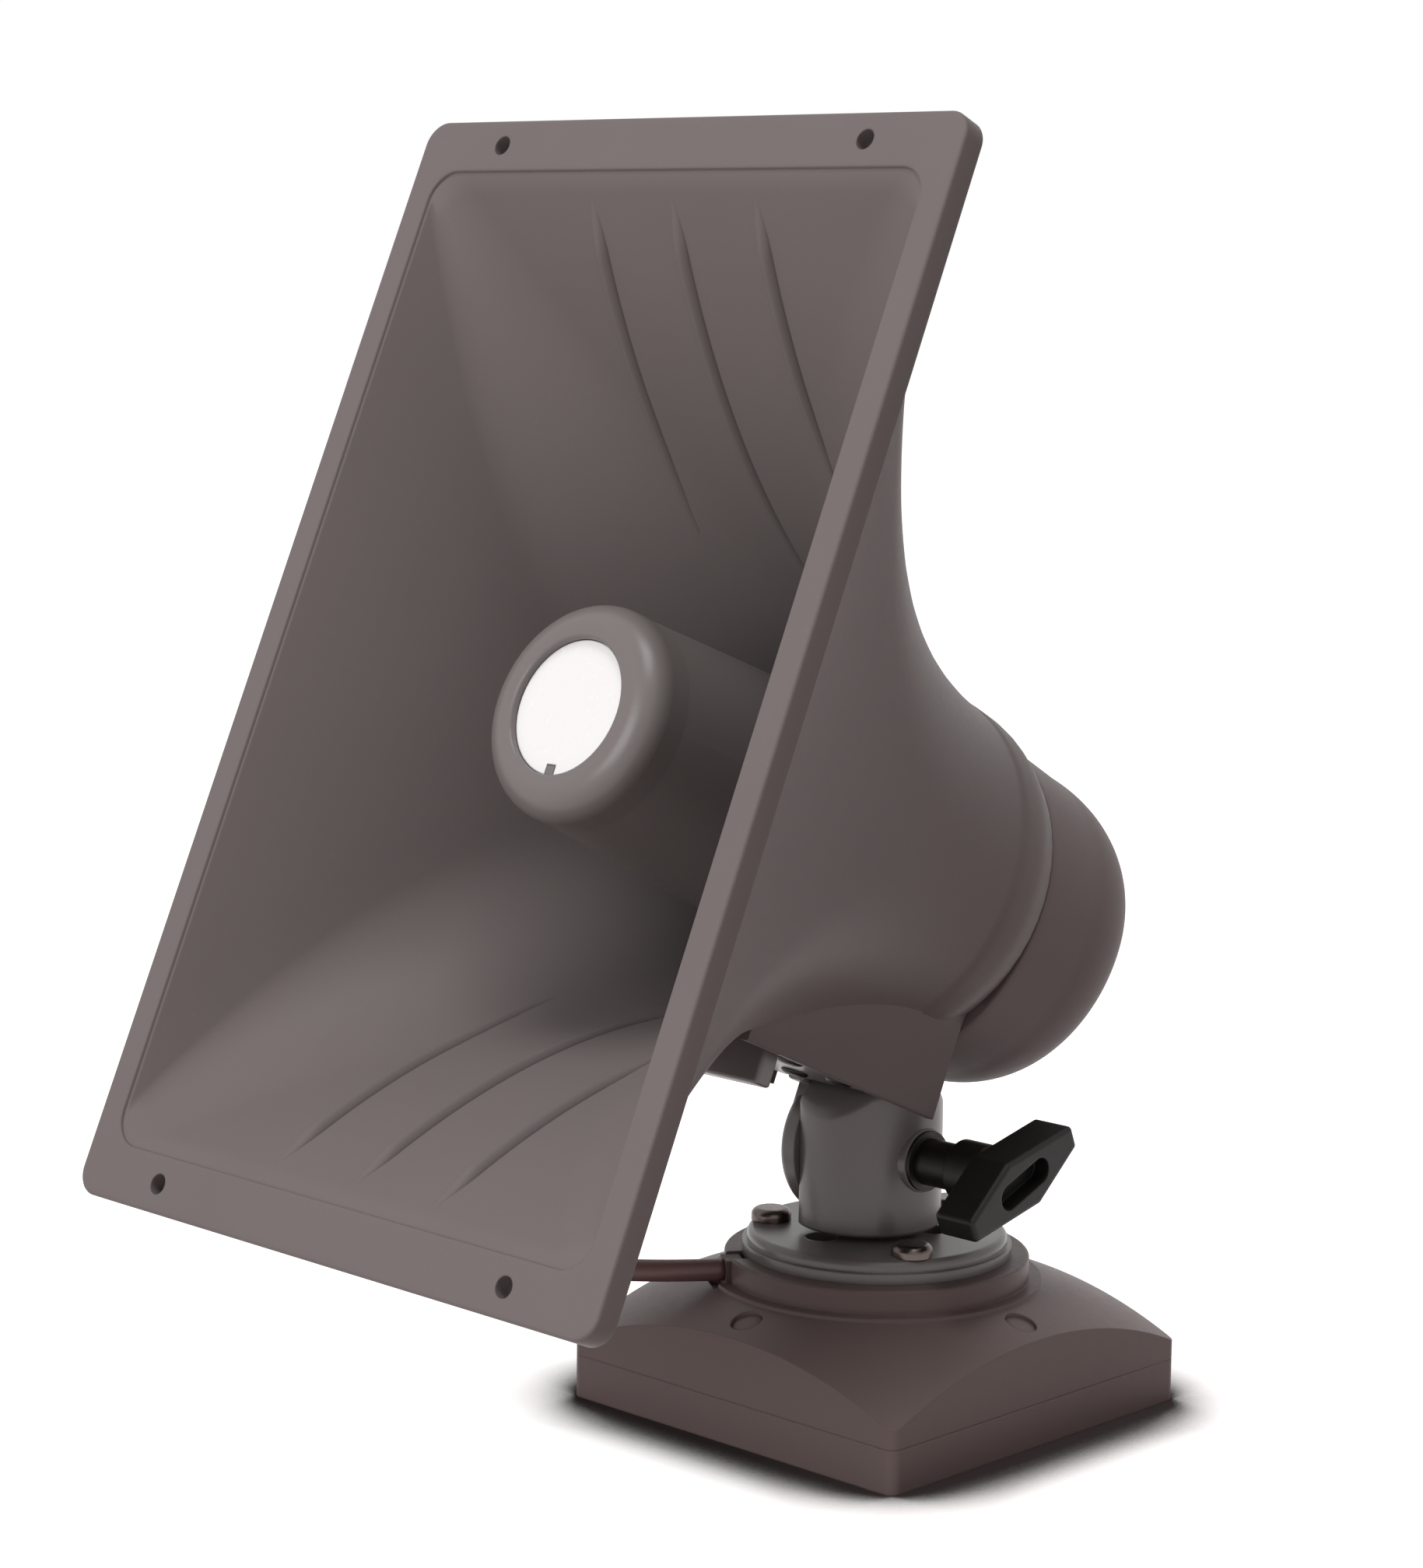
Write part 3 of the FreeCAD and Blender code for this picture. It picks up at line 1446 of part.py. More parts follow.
def make_bush():
    """Soft block that fills the cable slot and holds the cable."""
    gap = size("seat_gap")
    near = size("boss_inner") + gap
    far = size("boss_radius") + size("bush_flange")
    low = size("slot_bottom")
    body = radial_block("bush_body", near, far, size("slot_half") - gap / 2, low, size("bush_top"))
    bore = Part.makeCylinder(
        size("cable_radius"), far - near, on_circle(near, size("slot_angle"), size("cable_height")),
        on_circle(1, size("slot_angle"), 0),
    )
    finish("cable_bush", cut("bush", body, shaped("bush_bore", bore)))


def make_board():
    """Circuit board with its jack, terminal block, capacitors, inductor and amplifier chip."""
    base = size("board_height")
    top = base + size("board_thickness")
    half = size("board_half")
    sheet_solid = rounded_box("board_blank", half, base, top, size("base_corner"))
    holes = rods_at("board_hole", board_post_places(base),
                    size("board_screw_radius") + size("seat_gap"), top)
    finish("circuit_board", cut("board", sheet_solid, *holes))

    tips = board_post_places(top - size("board_screw_length"))
    shanks = rods_at("board_shank", tips, size("board_screw_radius"), top)
    heads = rods_at("board_head", board_post_places(top), size("board_screw_head"),
                    top + size("board_thickness"))
    finish("board_screws", fuse("board_screw_set", *shanks, *heads))

    width = size("jack_width")
    length = size("jack_length")
    jack = block("jack_body", "jack_width", "jack_length", "jack_height",
                 ("-jack_width / 2", "board_half - jack_length", "board_height - jack_height"))
    mouth = block("jack_mouth", "jack_mouth_width", "jack_mouth_depth", "jack_mouth_height",
                  ("-jack_mouth_width / 2", "board_half - jack_mouth_depth",
                   "board_height - jack_height / 2 - jack_mouth_height / 2"))
    finish("network_jack", cut("jack", jack, mouth))

    terminals = block("terminal_body", "block_width", "block_length", "block_height",
                      ("-board_half / 2", "-board_half + seat_gap", "board_height + board_thickness"))
    wells = [
        rod(f"terminal_well_{number}", "board_screw_radius", "block_height / 2",
            (f"-board_half / 2 + block_width * {share}", "-board_half + block_length / 2",
             "board_height + board_thickness + block_height / 2"))
        for number, share in enumerate((0.27, 0.73))
    ]
    finish("terminal_block", cut("terminals", terminals, *wells))

    cans = [
        rod(f"can_{number}", "can_radius", "can_height",
            (f"board_half * {share}", "0 - board_half * 0.35", "board_height + board_thickness"))
        for number, share in enumerate((0.3, 0.56, 0.82))
    ]
    finish("filter_capacitors", fuse("cans", *cans))

    coil = block("inductor_body", "coil_side", "coil_side", "coil_height",
                 ("board_half * 0.35", "board_half * 0.15", "board_height + board_thickness"))
    well = rod("inductor_well", "coil_side / 4", "coil_height / 4",
               ("board_half * 0.35 + coil_side / 2", "board_half * 0.15 + coil_side / 2",
                "board_height + board_thickness + coil_height * 0.75"))
    finish("power_inductor", cut("inductor", coil, well))

    chip = block("chip_body", "chip_side", "chip_side", "chip_height",
                 ("-board_half * 0.6", "-board_half * 0.1", "board_height + board_thickness"))
    dot = rod("chip_dot", "chip_side / 14", "chip_height / 4",
              ("-board_half * 0.6 + chip_side / 7", "-board_half * 0.1 + chip_side / 7",
               "board_height + board_thickness + chip_height * 0.75"))
    finish("amplifier_chip", cut("chip", chip, dot))


def swept_cable(node, points, radius):
    """Round cable along straight runs that are joined by tangent arcs."""
    edges = []
    radii = []
    previous = points[0]
    for index in range(1, len(points) - 1):
        before = points[index] - points[index - 1]
        after = points[index + 1] - points[index]
        turn = before.getAngle(after)
        shorter = min(before.Length, after.Length)
        bend = 0.45 * shorter / math.tan(turn / 2)
        radii.append(bend)
        start = points[index] - before.normalize() * (0.45 * shorter)
        end = points[index] + after.normalize() * (0.45 * shorter)
        inward = (after - before).normalize()
        middle = points[index] + inward * (bend / math.cos(turn / 2) - bend)
        edges.append(Part.LineSegment(previous, start).toShape())
        edges.append(Part.Arc(start, middle, end).toShape())
        previous = end
    edges.append(Part.LineSegment(previous, points[-1]).toShape())
    path = Part.Wire(edges)
    section = Part.Wire(
        [Part.Circle(points[0], points[1] - points[0], radius).toShape()]
    )
    tube = path.makePipeShell([section], True, False)
    expected = math.pi * radius**2 * path.Length
    print(f"{node} length {path.Length:.1f} mm, bend radii", [round(bend, 1) for bend in radii])
    print(f"{node} volume over section times length {tube.Volume / expected:.4f}")
    return shaped(node + "_tube", tube)


def make_cable():
    """Cable between the gland on the pot and the bush in the boss."""
    outward = gland_turn().multVec(Vector(0, 0, 1))
    direction = HORN_TURN.multVec(outward)
    tip = HORN.multVec(along_gland(size("gland_face") + size("gland_length")))
    radial = on_circle(1, size("slot_angle"), 0)
    bush = on_circle(size("boss_radius") + size("bush_flange"), size("slot_angle"),
                     size("cable_height"))
    points = [
        tip,
        tip + direction * size("cable_first_run"),
        Vector(-88, 4, 104),
        Vector(-90, -18, 82),
        Vector(-84, -40, 60),
        Vector(-72, -57, 44),
        Vector(-53, -64, 38),
        bush + radial * size("cable_last_run"),
        bush,
    ]
    finish("speaker_cable", swept_cable("speaker_cable", points, size("cable_radius")))


make_horn_bell()
make_bullet()
make_throat_tube()
make_driver()
make_rear()
make_gland()
make_upper_knuckle()
make_lower_knuckle()
make_knob()
make_mount_flange()
make_tray()
make_cover()
make_bush()
make_board()
make_cable()
doc.recompute()

for made in doc.Objects:
    if "Invalid" in made.State or "Error" in made.State:
        raise RuntimeError(f"{made.Label} is in state {made.State}")
for node, made in nodes.items():
    shape = made.Shape
    if shape.isNull() or not shape.isValid():
        raise RuntimeError(f"{node} has no valid shape")
    shape.exportStep(f"parts/{node}.step")
    box = shape.optimalBoundingBox()
    print(
        f"{node:20s} {shape.Volume / 1000:9.3f} cm3 solids {len(shape.Solids)}",
        f"x {box.XMin:.1f}..{box.XMax:.1f} y {box.YMin:.1f}..{box.YMax:.1f}",
        f"z {box.ZMin:.1f}..{box.ZMax:.1f}",
    )
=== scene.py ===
"""A paging speaker: a moulded re-entrant horn on a swivel mount, over a square amplifier base."""
import bmesh
import bpy
import numpy as np
from mathutils import Matrix


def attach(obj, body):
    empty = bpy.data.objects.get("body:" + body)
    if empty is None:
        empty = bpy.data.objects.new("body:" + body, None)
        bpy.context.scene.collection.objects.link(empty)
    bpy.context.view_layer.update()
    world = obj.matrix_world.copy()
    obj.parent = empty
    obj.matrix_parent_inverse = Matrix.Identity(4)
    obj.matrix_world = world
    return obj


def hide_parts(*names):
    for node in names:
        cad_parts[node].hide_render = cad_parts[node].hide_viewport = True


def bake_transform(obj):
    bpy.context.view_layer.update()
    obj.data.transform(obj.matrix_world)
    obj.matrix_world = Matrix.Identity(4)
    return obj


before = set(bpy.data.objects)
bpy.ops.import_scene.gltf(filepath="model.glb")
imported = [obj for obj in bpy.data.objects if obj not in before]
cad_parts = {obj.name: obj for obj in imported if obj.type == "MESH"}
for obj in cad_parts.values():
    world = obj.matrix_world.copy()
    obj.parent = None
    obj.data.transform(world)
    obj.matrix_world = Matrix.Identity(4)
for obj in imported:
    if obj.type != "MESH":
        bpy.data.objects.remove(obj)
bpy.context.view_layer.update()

# The base: a shallow tray and a domed cover, both moulded in taupe plastic with a fine
# satin grain, and closed on a black rubber ring by screws from below.


def adder(tree):
    """A maker of nodes in one tree. Each value goes to the socket or the setting of its name."""
    def add(kind, **values):
        node = tree.nodes.new(kind)
        for key, value in values.items():
            if key in node.inputs:
                node.inputs[key].default_value = value
            else:
                setattr(node, key, value)
        return node

    return add


def nodes_of(name):
    """A new material with its links, its shader and a maker of further nodes."""
    material = bpy.data.materials.new(name)
    material.use_nodes = True
    tree = material.node_tree
    return material, tree.links, tree.nodes["Principled BSDF"], adder(tree)


def from_srgb(red, green, blue):
    """The linear colour of a tone given in 0 to 255: the power curve above 0.04, a straight line below."""
    tone = np.array([red, green, blue]) / 255
    linear = np.where(tone > 0.04045, ((tone + 0.055) / 1.055) ** 2.4, tone / 12.92)
    return [*map(float, linear), 1.0]


def shaded(colour, factor, lift=0.0):
    """The colour times a factor and raised by a lift, never above full white."""
    return [min(1.0, part * factor + lift) for part in colour[:3]] + [1.0]


def ramp(add, *stops):
    """A colour ramp of two stops, each a position and a colour."""
    toned = add("ShaderNodeValToRGB")
    for element, (position, colour) in zip(toned.color_ramp.elements, stops):
        element.position = position
        element.color = colour
    return toned


def remapped(add, low, high, new_low, new_high):
    """Carries the range from low to high onto a new one, in a straight line held at both ends."""
    ends = {"From Min": low, "From Max": high, "To Min": new_low, "To Max": new_high}
    return add("ShaderNodeMapRange", **ends)


def softened(add, join, bump, radius=0.0007):
    """Rounds the shading of every sharp edge by a small radius, under the height of the grain."""
    edge = add("ShaderNodeBevel", samples=4, Radius=radius)
    join.new(edge.outputs["Normal"], bump.inputs["Normal"])


def moulded(name, colour, roughness, grain=1500, relief=0.00002, drift=0.10, spread=0.05, scuff=0.5,
            shine=0.4):
    """Moulded plastic: the tone drifts with slow noise, a spray of fine specks lightens it,
    roughness follows the specks, and the height is a fine pitted grain over a slow ripple."""
    material, join, shader, add = nodes_of(name)
    shader.inputs["Specular IOR Level"].default_value = shine
    place = add("ShaderNodeTexCoord")
    slow = add("ShaderNodeTexNoise", Scale=9.0, Detail=3.0, Roughness=0.6)
    fine = add("ShaderNodeTexNoise", Scale=grain, Detail=2.0, Roughness=0.5)
    flecks = add("ShaderNodeTexNoise", Scale=420.0, Detail=4.0, Roughness=0.7)
    for noise in (slow, fine, flecks):
        join.new(place.outputs["Object"], noise.inputs["Vector"])
    toned = ramp(add, (0.3, shaded(colour, 1 - drift)), (0.7, shaded(colour, 1 + drift)))
    join.new(slow.outputs["Fac"], toned.inputs["Fac"])
    speck = remapped(add, 0.62, 0.78, 0.0, scuff * 0.25)
    join.new(flecks.outputs["Fac"], speck.inputs["Value"])
    mixed = add("ShaderNodeMix", data_type="RGBA")
    mixed.inputs[7].default_value = shaded(colour, 1.5, lift=0.02)
    join.new(speck.outputs["Result"], mixed.inputs[0])
    join.new(toned.outputs["Color"], mixed.inputs[6])
    join.new(mixed.outputs[2], shader.inputs["Base Color"])
    sheen = remapped(add, 0.25, 0.75, roughness - spread, roughness + spread)
    join.new(flecks.outputs["Fac"], sheen.inputs["Value"])
    join.new(sheen.outputs["Result"], shader.inputs["Roughness"])
    height = add("ShaderNodeMath", operation="MULTIPLY_ADD")
    height.inputs[1].default_value = 6.0
    join.new(slow.outputs["Fac"], height.inputs[0])
    join.new(fine.outputs["Fac"], height.inputs[2])
    bump = add("ShaderNodeBump", Strength=1.0, Distance=relief)
    join.new(height.outputs[0], bump.inputs["Height"])
    softened(add, join, bump)
    join.new(bump.outputs["Normal"], shader.inputs["Normal"])
    return material


def dress(material, slot, *names):
    """Each named part of the frame gets the finish in its only slot."""
    for name in names:
        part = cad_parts[name]
        part.data.materials.clear()
        part.data.materials.append(material)


taupe_shell = moulded("taupe_shell", from_srgb(117, 103, 101), 0.42, drift=0.04, shine=0.16)
dress(taupe_shell, "base_shell", "base_tray", "base_cover")
black_rubber = moulded("black_rubber", from_srgb(38, 38, 38), 0.7, grain=900, relief=0.00003, drift=0.12)
dress(black_rubber, "seal_rubber", "base_gasket", "rear_gasket")
bush_brown = moulded("bush_brown", from_srgb(84, 66, 63), 0.6, grain=900, relief=0.00003, drift=0.08)
dress(bush_brown, "seal_rubber", "cable_bush")

# The amplifier inside the base: a green board with a shielded network jack, a screw
# terminal, the amplifier chip, two capacitors and an inductor, all soldered in place.


def solder_board(name):
    """A solder-masked board: brick cells give the copper runs under the mask, and a fine
    round-dot field the tinned holes. The runs stand up a little in the height."""
    material, join, shader, add = nodes_of(name)
    place = add("ShaderNodeTexCoord")
    runs = add("ShaderNodeTexBrick", Scale=120.0)
    runs.inputs["Color1"].default_value = from_srgb(20, 92, 52)
    runs.inputs["Color2"].default_value = from_srgb(28, 110, 62)
    runs.inputs["Mortar"].default_value = from_srgb(14, 66, 38)
    runs.inputs["Mortar Size"].default_value = 0.04
    dots = add("ShaderNodeTexVoronoi", Scale=260.0, Randomness=0.3)
    ring = remapped(add, 0.16, 0.2, 1.0, 0.0)
    mixed = add("ShaderNodeMix", data_type="RGBA")
    mixed.inputs[7].default_value = from_srgb(190, 192, 190)
    join.new(place.outputs["Object"], runs.inputs["Vector"])
    join.new(place.outputs["Object"], dots.inputs["Vector"])
    join.new(dots.outputs["Distance"], ring.inputs["Value"])
    join.new(ring.outputs["Result"], mixed.inputs[0])
    join.new(runs.outputs["Color"], mixed.inputs[6])
    join.new(mixed.outputs[2], shader.inputs["Base Color"])
    shader.inputs["Roughness"].default_value = 0.25
    bump = add("ShaderNodeBump", Strength=0.6, Distance=0.00005)
    join.new(runs.outputs["Fac"], bump.inputs["Height"])
    join.new(bump.outputs["Normal"], shader.inputs["Normal"])
    return material


def metal(name, colour, roughness, stretch=(1, 1, 30), scale=260):
    """Bare metal: noise drawn out along one way gives the tool marks in height and gloss,
    and slow noise dulls the tone where it has been handled."""
    material, join, shader, add = nodes_of(name)
    shader.inputs["Metallic"].default_value = 1.0
    place = add("ShaderNodeTexCoord")
    along = add("ShaderNodeMapping", Scale=stretch)
    marks = add("ShaderNodeTexNoise", Scale=scale, Detail=5.0, Roughness=0.7)
    cloud = add("ShaderNodeTexNoise", Scale=70.0, Detail=4.0, Roughness=0.6)
    toned = ramp(add, (0.3, shaded(colour, 0.75)), (0.62, colour))
    gloss = remapped(add, 0.3, 0.7, roughness * 0.7, roughness * 1.35)
    bump = add("ShaderNodeBump", Strength=0.7, Distance=0.00001)
    join.new(place.outputs["Object"], along.inputs["Vector"])
    join.new(along.outputs["Vector"], marks.inputs["Vector"])
    join.new(place.outputs["Object"], cloud.inputs["Vector"])
    join.new(cloud.outputs["Fac"], toned.inputs["Fac"])
    join.new(toned.outputs["Color"], shader.inputs["Base Color"])
    join.new(marks.outputs["Fac"], gloss.inputs["Value"])
    join.new(gloss.outputs["Result"], shader.inputs["Roughness"])
    join.new(marks.outputs["Fac"], bump.inputs["Height"])
    softened(add, join, bump, radius=0.0004)
    join.new(bump.outputs["Normal"], shader.inputs["Normal"])
    return material


dress(solder_board("solder_board"), "board_green", "circuit_board")
tinned = metal("tinned_shield", from_srgb(196, 196, 198), 0.3)
dress(tinned, "jack_shield", "network_jack")
sleeve = metal("capacitor_sleeve", from_srgb(206, 206, 208), 0.28, stretch=(1, 1, 12))
dress(sleeve, "capacitor_can", "filter_capacitors")
dress(moulded("terminal_green", from_srgb(52, 140, 72), 0.35), "terminal_green", "terminal_block")
component_black = moulded("component_black", from_srgb(34, 34, 36), 0.5, grain=2400)
dress(component_black, "component_black", "amplifier_chip", "power_inductor")

# Four round plugs close the cover's screw wells, moulded in the cover's plastic. Each is
# curved with the dome and pushed in a little under it.
dome_radius, dome_top, well_circle, well_radius = 150.0, 41.0, 51.0, 4.2
plug_profile = [(0.1, 4.0), (4.0, 4.0), (well_radius, 3.8), (well_radius, 1.2), (4.1, 0.95), (3.9, 0.85),
                (2.0, 0.8), (0.1, 0.8)]
sharp_angle = 0.6


def new_piece(name, points, faces, material):
    """A smooth mesh object from arrays of points and lists of faces, with its finish."""
    mesh = bpy.data.meshes.new(name)
    mesh.from_pydata(points.tolist(), [], faces)
    mesh.shade_smooth()
    mesh.materials.append(material)
    piece = bpy.data.objects.new(name, mesh)
    bpy.context.scene.collection.objects.link(piece)
    return piece


def outward(piece):
    """Merges coincident points, turns every face of a closed piece outwards, and marks as
    sharp each edge whose faces meet at more than the sharp angle, in radians."""
    work = bmesh.new()
    work.from_mesh(piece.data)
    bmesh.ops.remove_doubles(work, verts=work.verts, dist=1e-6)
    bmesh.ops.recalc_face_normals(work, faces=work.faces)
    if work.calc_volume(signed=True) < 0:
        bmesh.ops.reverse_faces(work, faces=work.faces)
    work.to_mesh(piece.data)
    work.free()
    piece.data.set_sharp_from_angle(angle=sharp_angle)


def ring_faces(count, around, round_again=False):
    """Four-cornered faces that join each ring of points to the next, and the last ring to the
    first where the profile comes round again."""
    steps = count if round_again else count - 1
    row, column = np.meshgrid(np.arange(steps), np.arange(around), indexing="ij")
    here, beside = row * around + column, row * around + (column + 1) % around
    total = count * around
    faces = np.stack([here, beside, (beside + around) % total, (here + around) % total], axis=-1)
    return faces.reshape(-1, 4).tolist()


def carried(name, rings, material, round_again=False):
    """A closed surface through equal rings of points, in metres, each joined to the next.
    Where the profile doesn't come round again, a flat face caps each end."""
    rings = np.asarray(rings)
    count, around = rings.shape[:2]
    faces = ring_faces(count, around, round_again)
    if not round_again:
        faces += [list(range(around))[::-1], list(range((count - 1) * around, count * around))]
    piece = new_piece(name, rings.reshape(-1, 3), faces, material)
    outward(piece)
    return piece


turn = np.linspace(0, 2 * np.pi, 64, endpoint=False)
for number in range(4):
    middle = well_circle * np.array([np.cos(number * np.pi / 2), np.sin(number * np.pi / 2)])
    rings = []
    for radius, drop in plug_profile:
        flat = middle + radius * np.column_stack([np.cos(turn), np.sin(turn)])
        height = dome_top - dome_radius + np.sqrt(dome_radius ** 2 - (flat ** 2).sum(axis=1)) - drop
        rings.append(np.column_stack([flat, height]) / 1000)
    plug = carried(f"well_plug_{number + 1}", rings, taupe_shell)
    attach(plug, "base")

# The swivel mount: a round flange, a lower half that turns on it and an upper half screwed
# under the horn, all cast in metal and painted a cool smooth grey.


def painted(name, colour, roughness):
    """Paint over a casting: a faint orange-peel ripple, slow tone drift and a clear sheen."""
    material, join, shader, add = nodes_of(name)
    place = add("ShaderNodeTexCoord")
    peel = add("ShaderNodeTexNoise", Scale=520.0, Detail=2.0, Roughness=0.45)
    slow = add("ShaderNodeTexNoise", Scale=24.0, Detail=4.0, Roughness=0.6)
    for noise in (peel, slow):
        join.new(place.outputs["Object"], noise.inputs["Vector"])
    toned = ramp(add, (0.32, shaded(colour, 0.92)), (0.68, shaded(colour, 1.06)))
    join.new(slow.outputs["Fac"], toned.inputs["Fac"])
    join.new(toned.outputs["Color"], shader.inputs["Base Color"])
    gloss = remapped(add, 0.3, 0.7, roughness - 0.05, roughness + 0.07)
    join.new(slow.outputs["Fac"], gloss.inputs["Value"])
    join.new(gloss.outputs["Result"], shader.inputs["Roughness"])
    bump = add("ShaderNodeBump", Strength=0.8, Distance=0.00003)
    join.new(peel.outputs["Fac"], bump.inputs["Height"])
    softened(add, join, bump)
    join.new(bump.outputs["Normal"], shader.inputs["Normal"])
    return material


mount_paint = painted("mount_paint", from_srgb(124, 121, 119), 0.32)
dress(mount_paint, "mount_paint", "mount_flange")

# The lower half of the tilt joint: an upright cast column whose top is rounded over the
# tilt axis, with a flat on the disc's side and a round seat for the clamp knob on the other.
tilt_axis, neck_middle, disc_side, column_foot = 69.5, -3.5, -12.8, 49.4
neck_radius, barrel_radius, front_radius, top_round = 20.0, 20.0, 24.0, 2.5
seat_radius, seat_end = 8.7, 17.0
column_turn = np.linspace(0, 2 * np.pi, 144, endpoint=False)


def spun(name, profile, material, centre, way, around=96, round_again=False):
    """A round piece, its sizes in millimetres: each corner of the profile, a distance along
    the way and a radius, goes once about the line through the centre."""
    way = np.asarray(way, float) / np.linalg.norm(way)
    side = np.cross(way, (0.31, 0.17, 0.94))
    side /= np.linalg.norm(side)
    turn = np.linspace(0, 2 * np.pi, around, endpoint=False)
    circle = np.cos(turn)[:, None] * side + np.sin(turn)[:, None] * np.cross(way, side)
    along, radius = np.asarray(profile, float).T
    rings = np.asarray(centre) + along[:, None, None] * way + radius[:, None, None] * circle
    return carried(name, rings / 1000, material, round_again)


def fitted(piece, body, slot, *nodes):
    """The piece rides on its body and stands for the nodes, which it hides. The slot is not used."""
    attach(piece, body)
    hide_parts(*nodes)


def column_ring(share, height, drop=0.0):
    """One ring of the column: a circle about the turning axis, flat beyond the disc's side.
    Its height is a share of the way from the foot to the top, which is a barrel about the
    tilt axis at the back and a fuller arc with a flat crown at the front."""
    x = neck_middle + share * np.maximum(neck_radius * np.cos(column_turn), disc_side - neck_middle)
    y = share * neck_radius * np.sin(column_turn)
    back = np.sqrt(np.maximum(barrel_radius ** 2 - y ** 2, 0))
    front = np.minimum(barrel_radius, np.sqrt(front_radius ** 2 - y ** 2))
    top = tilt_axis + np.where(y < 0, front, back) - drop
    return np.column_stack([x, y, column_foot + (top - column_foot) * height]) / 1000


bend = np.linspace(0, np.pi / 2, 9)
rings = [column_ring(share, 0.0) for share in (0.1, 0.5, 0.97)]
rings += [column_ring(1.0, height, top_round) for height in np.linspace(0.02, 1, 26)]
rings += [column_ring(1 - top_round / neck_radius * (1 - np.cos(b)), 1.0, top_round * (1 - np.sin(b)))
          for b in bend[1:]]
rings += [column_ring(share, 1.0) for share in np.linspace(0.86, 0.03, 22)]
fitted(carried("neck_column", rings, mount_paint), "neck", "mount_paint", "lower_knuckle")
seat_profile = [(4, seat_radius), (seat_end - 0.4, seat_radius), (seat_end - 0.1, seat_radius - 0.1),
                (seat_end, seat_radius - 0.4), (seat_end, 4.4)]
seat = spun("clamp_seat", seat_profile, mount_paint, (0, 0, tilt_axis), (1, 0, 0))
fitted(seat, "neck", "mount_paint", "lower_knuckle")

# The upper half: a disc clamped against the column, cast in one with the plate that is
# screwed between the walls under the horn and shows only its front lip.
disc_near, disc_far, disc_radius, disc_hub, disc_round = -12.86, -19.0, 20.0, 6.0, 2.8
plate_half, plate_top, plate_under, lip_under = 22, -55, -59.6, -70.5
arm_far, arm_near, slab_round = -18.8, -12.9, 0.8


def in_row(points):
    """Places points of the horn's own frame, in millimetres, in the speaker's, in metres: x
    across, y up the mouth, z out of it, leant back by the rest angle about its middle."""
    points = np.asarray(points, float)
    across, lift, face = np.array([[1, 0, 0], [0, 0.406737, 0.913545], [0, -0.913545, 0.406737]])
    placed = points[..., :1] * across + points[..., 1:2] * lift + points[..., 2:3] * face
    return (placed + np.array([0, -138.92, 209.62])) / 1000


def rounded_ring(half_width, half_height, corner, depth, arc=14, side=9):
    """A rounded rectangle about the horn's axis: each quarter is an arc about its corner's
    centre, then a straight run to the next arc. The depth goes backwards from the mouth."""
    quarters = []
    for number, (side_x, side_y) in enumerate(((1, 1), (-1, 1), (-1, -1), (1, -1))):
        centre = np.array([side_x * (half_width - corner), side_y * (half_height - corner)])
        turn = np.pi / 2 * (number + np.linspace(0, 1, arc + 1))
        quarters.append(centre + corner * np.column_stack([np.cos(turn), np.sin(turn)]))
    share = np.linspace(0, 1, side + 2)[1:-1, None]
    runs = [quarters[n][-1] * (1 - share) + quarters[(n + 1) % 4][0] * share for n in range(4)]
    flat = np.vstack([part for pair in zip(quarters, runs) for part in pair])
    return np.column_stack([flat, np.full(len(flat), -depth)])


def slab(name, low, high, corner, material):
    """A flat plate of the horn's frame between two corners: rounded outlines stacked along y,
    each drawn in near the faces by a quarter turn of the edge's round."""
    low, high = np.asarray(low, float), np.asarray(high, float)
    half, middle = (high - low) / 2, (high + low) / 2
    bend = np.linspace(np.pi / 2, 0, 5)
    rise, inset = slab_round * (1 - np.sin(bend)), slab_round * (1 - np.cos(bend))
    heights = np.concatenate([rise - half[1], half[1] - rise[::-1]])
    rings = []
    for height, drawn in zip(heights, np.concatenate([inset, inset[::-1]])):
        outline = rounded_ring(half[0] - drawn, half[2] - drawn, corner, 0, arc=6, side=3)
        rings.append(outline[:, [0, 2, 1]] + middle + (0, height, 0))
    return carried(name, in_row(rings), material)


disc_profile = [(disc_near, disc_hub), (disc_near, disc_radius), (disc_far + disc_round, disc_radius)]
disc_profile += [(disc_far + disc_round * (1 - np.sin(b)), disc_radius - disc_round * (1 - np.cos(b)))
                 for b in bend[1:]]
disc_profile += [(disc_far, disc_hub)]
disc = spun("joint_disc", disc_profile, mount_paint, (0, 0, tilt_axis), (1, 0, 0))
fitted(disc, "head", "mount_paint", "upper_knuckle")
for name, low, high, corner in (
        ("foot_plate", (-plate_half, plate_under, -162), (plate_half, plate_top, -106), 1.5),
        ("foot_lip", (-plate_half, lip_under, -110.5), (plate_half, -56.8, -104), 1.5),
        ("arm_root", (arm_far, -60.5, -170), (arm_near, plate_top, -160.5), 1.0),
        ("disc_arm", (arm_far, -67, -178), (arm_near, plate_top, -165.5), 1.0)):
    fitted(slab(name, low, high, corner, mount_paint), "head", "mount_paint", "upper_knuckle")

# The fasteners: pan-head steel screws with a dull plating in the flange and inside, bolts
# and washers of the same steel in the joints, a dark clamp washer, and screws that hold the
# foot plate, darkened with painted shade as they sit in the shade under it.
screw_steel = metal("screw_steel", from_srgb(100, 90, 87), 0.3, stretch=(1, 1, 4), scale=600)
dress(screw_steel, "screw_steel", "flange_screws", "cover_screws", "board_screws", "driver_screws",
      "bullet_screw", "clamp_bolt", "pan_bolt", "pan_washer")
# Dark steel: the clamp washer's finish, and painted shade on the screws under the foot plate, which sit in
# its shade.
dark_steel_painted_shade = metal("dark_steel_painted_shade", from_srgb(62, 58, 57), 0.5, scale=300)
dress(dark_steel_painted_shade, "screw_steel", "clamp_washer")


def leant(way):
    """A direction of the horn's own frame, in the speaker's."""
    return in_row(way) - in_row([0, 0, 0])


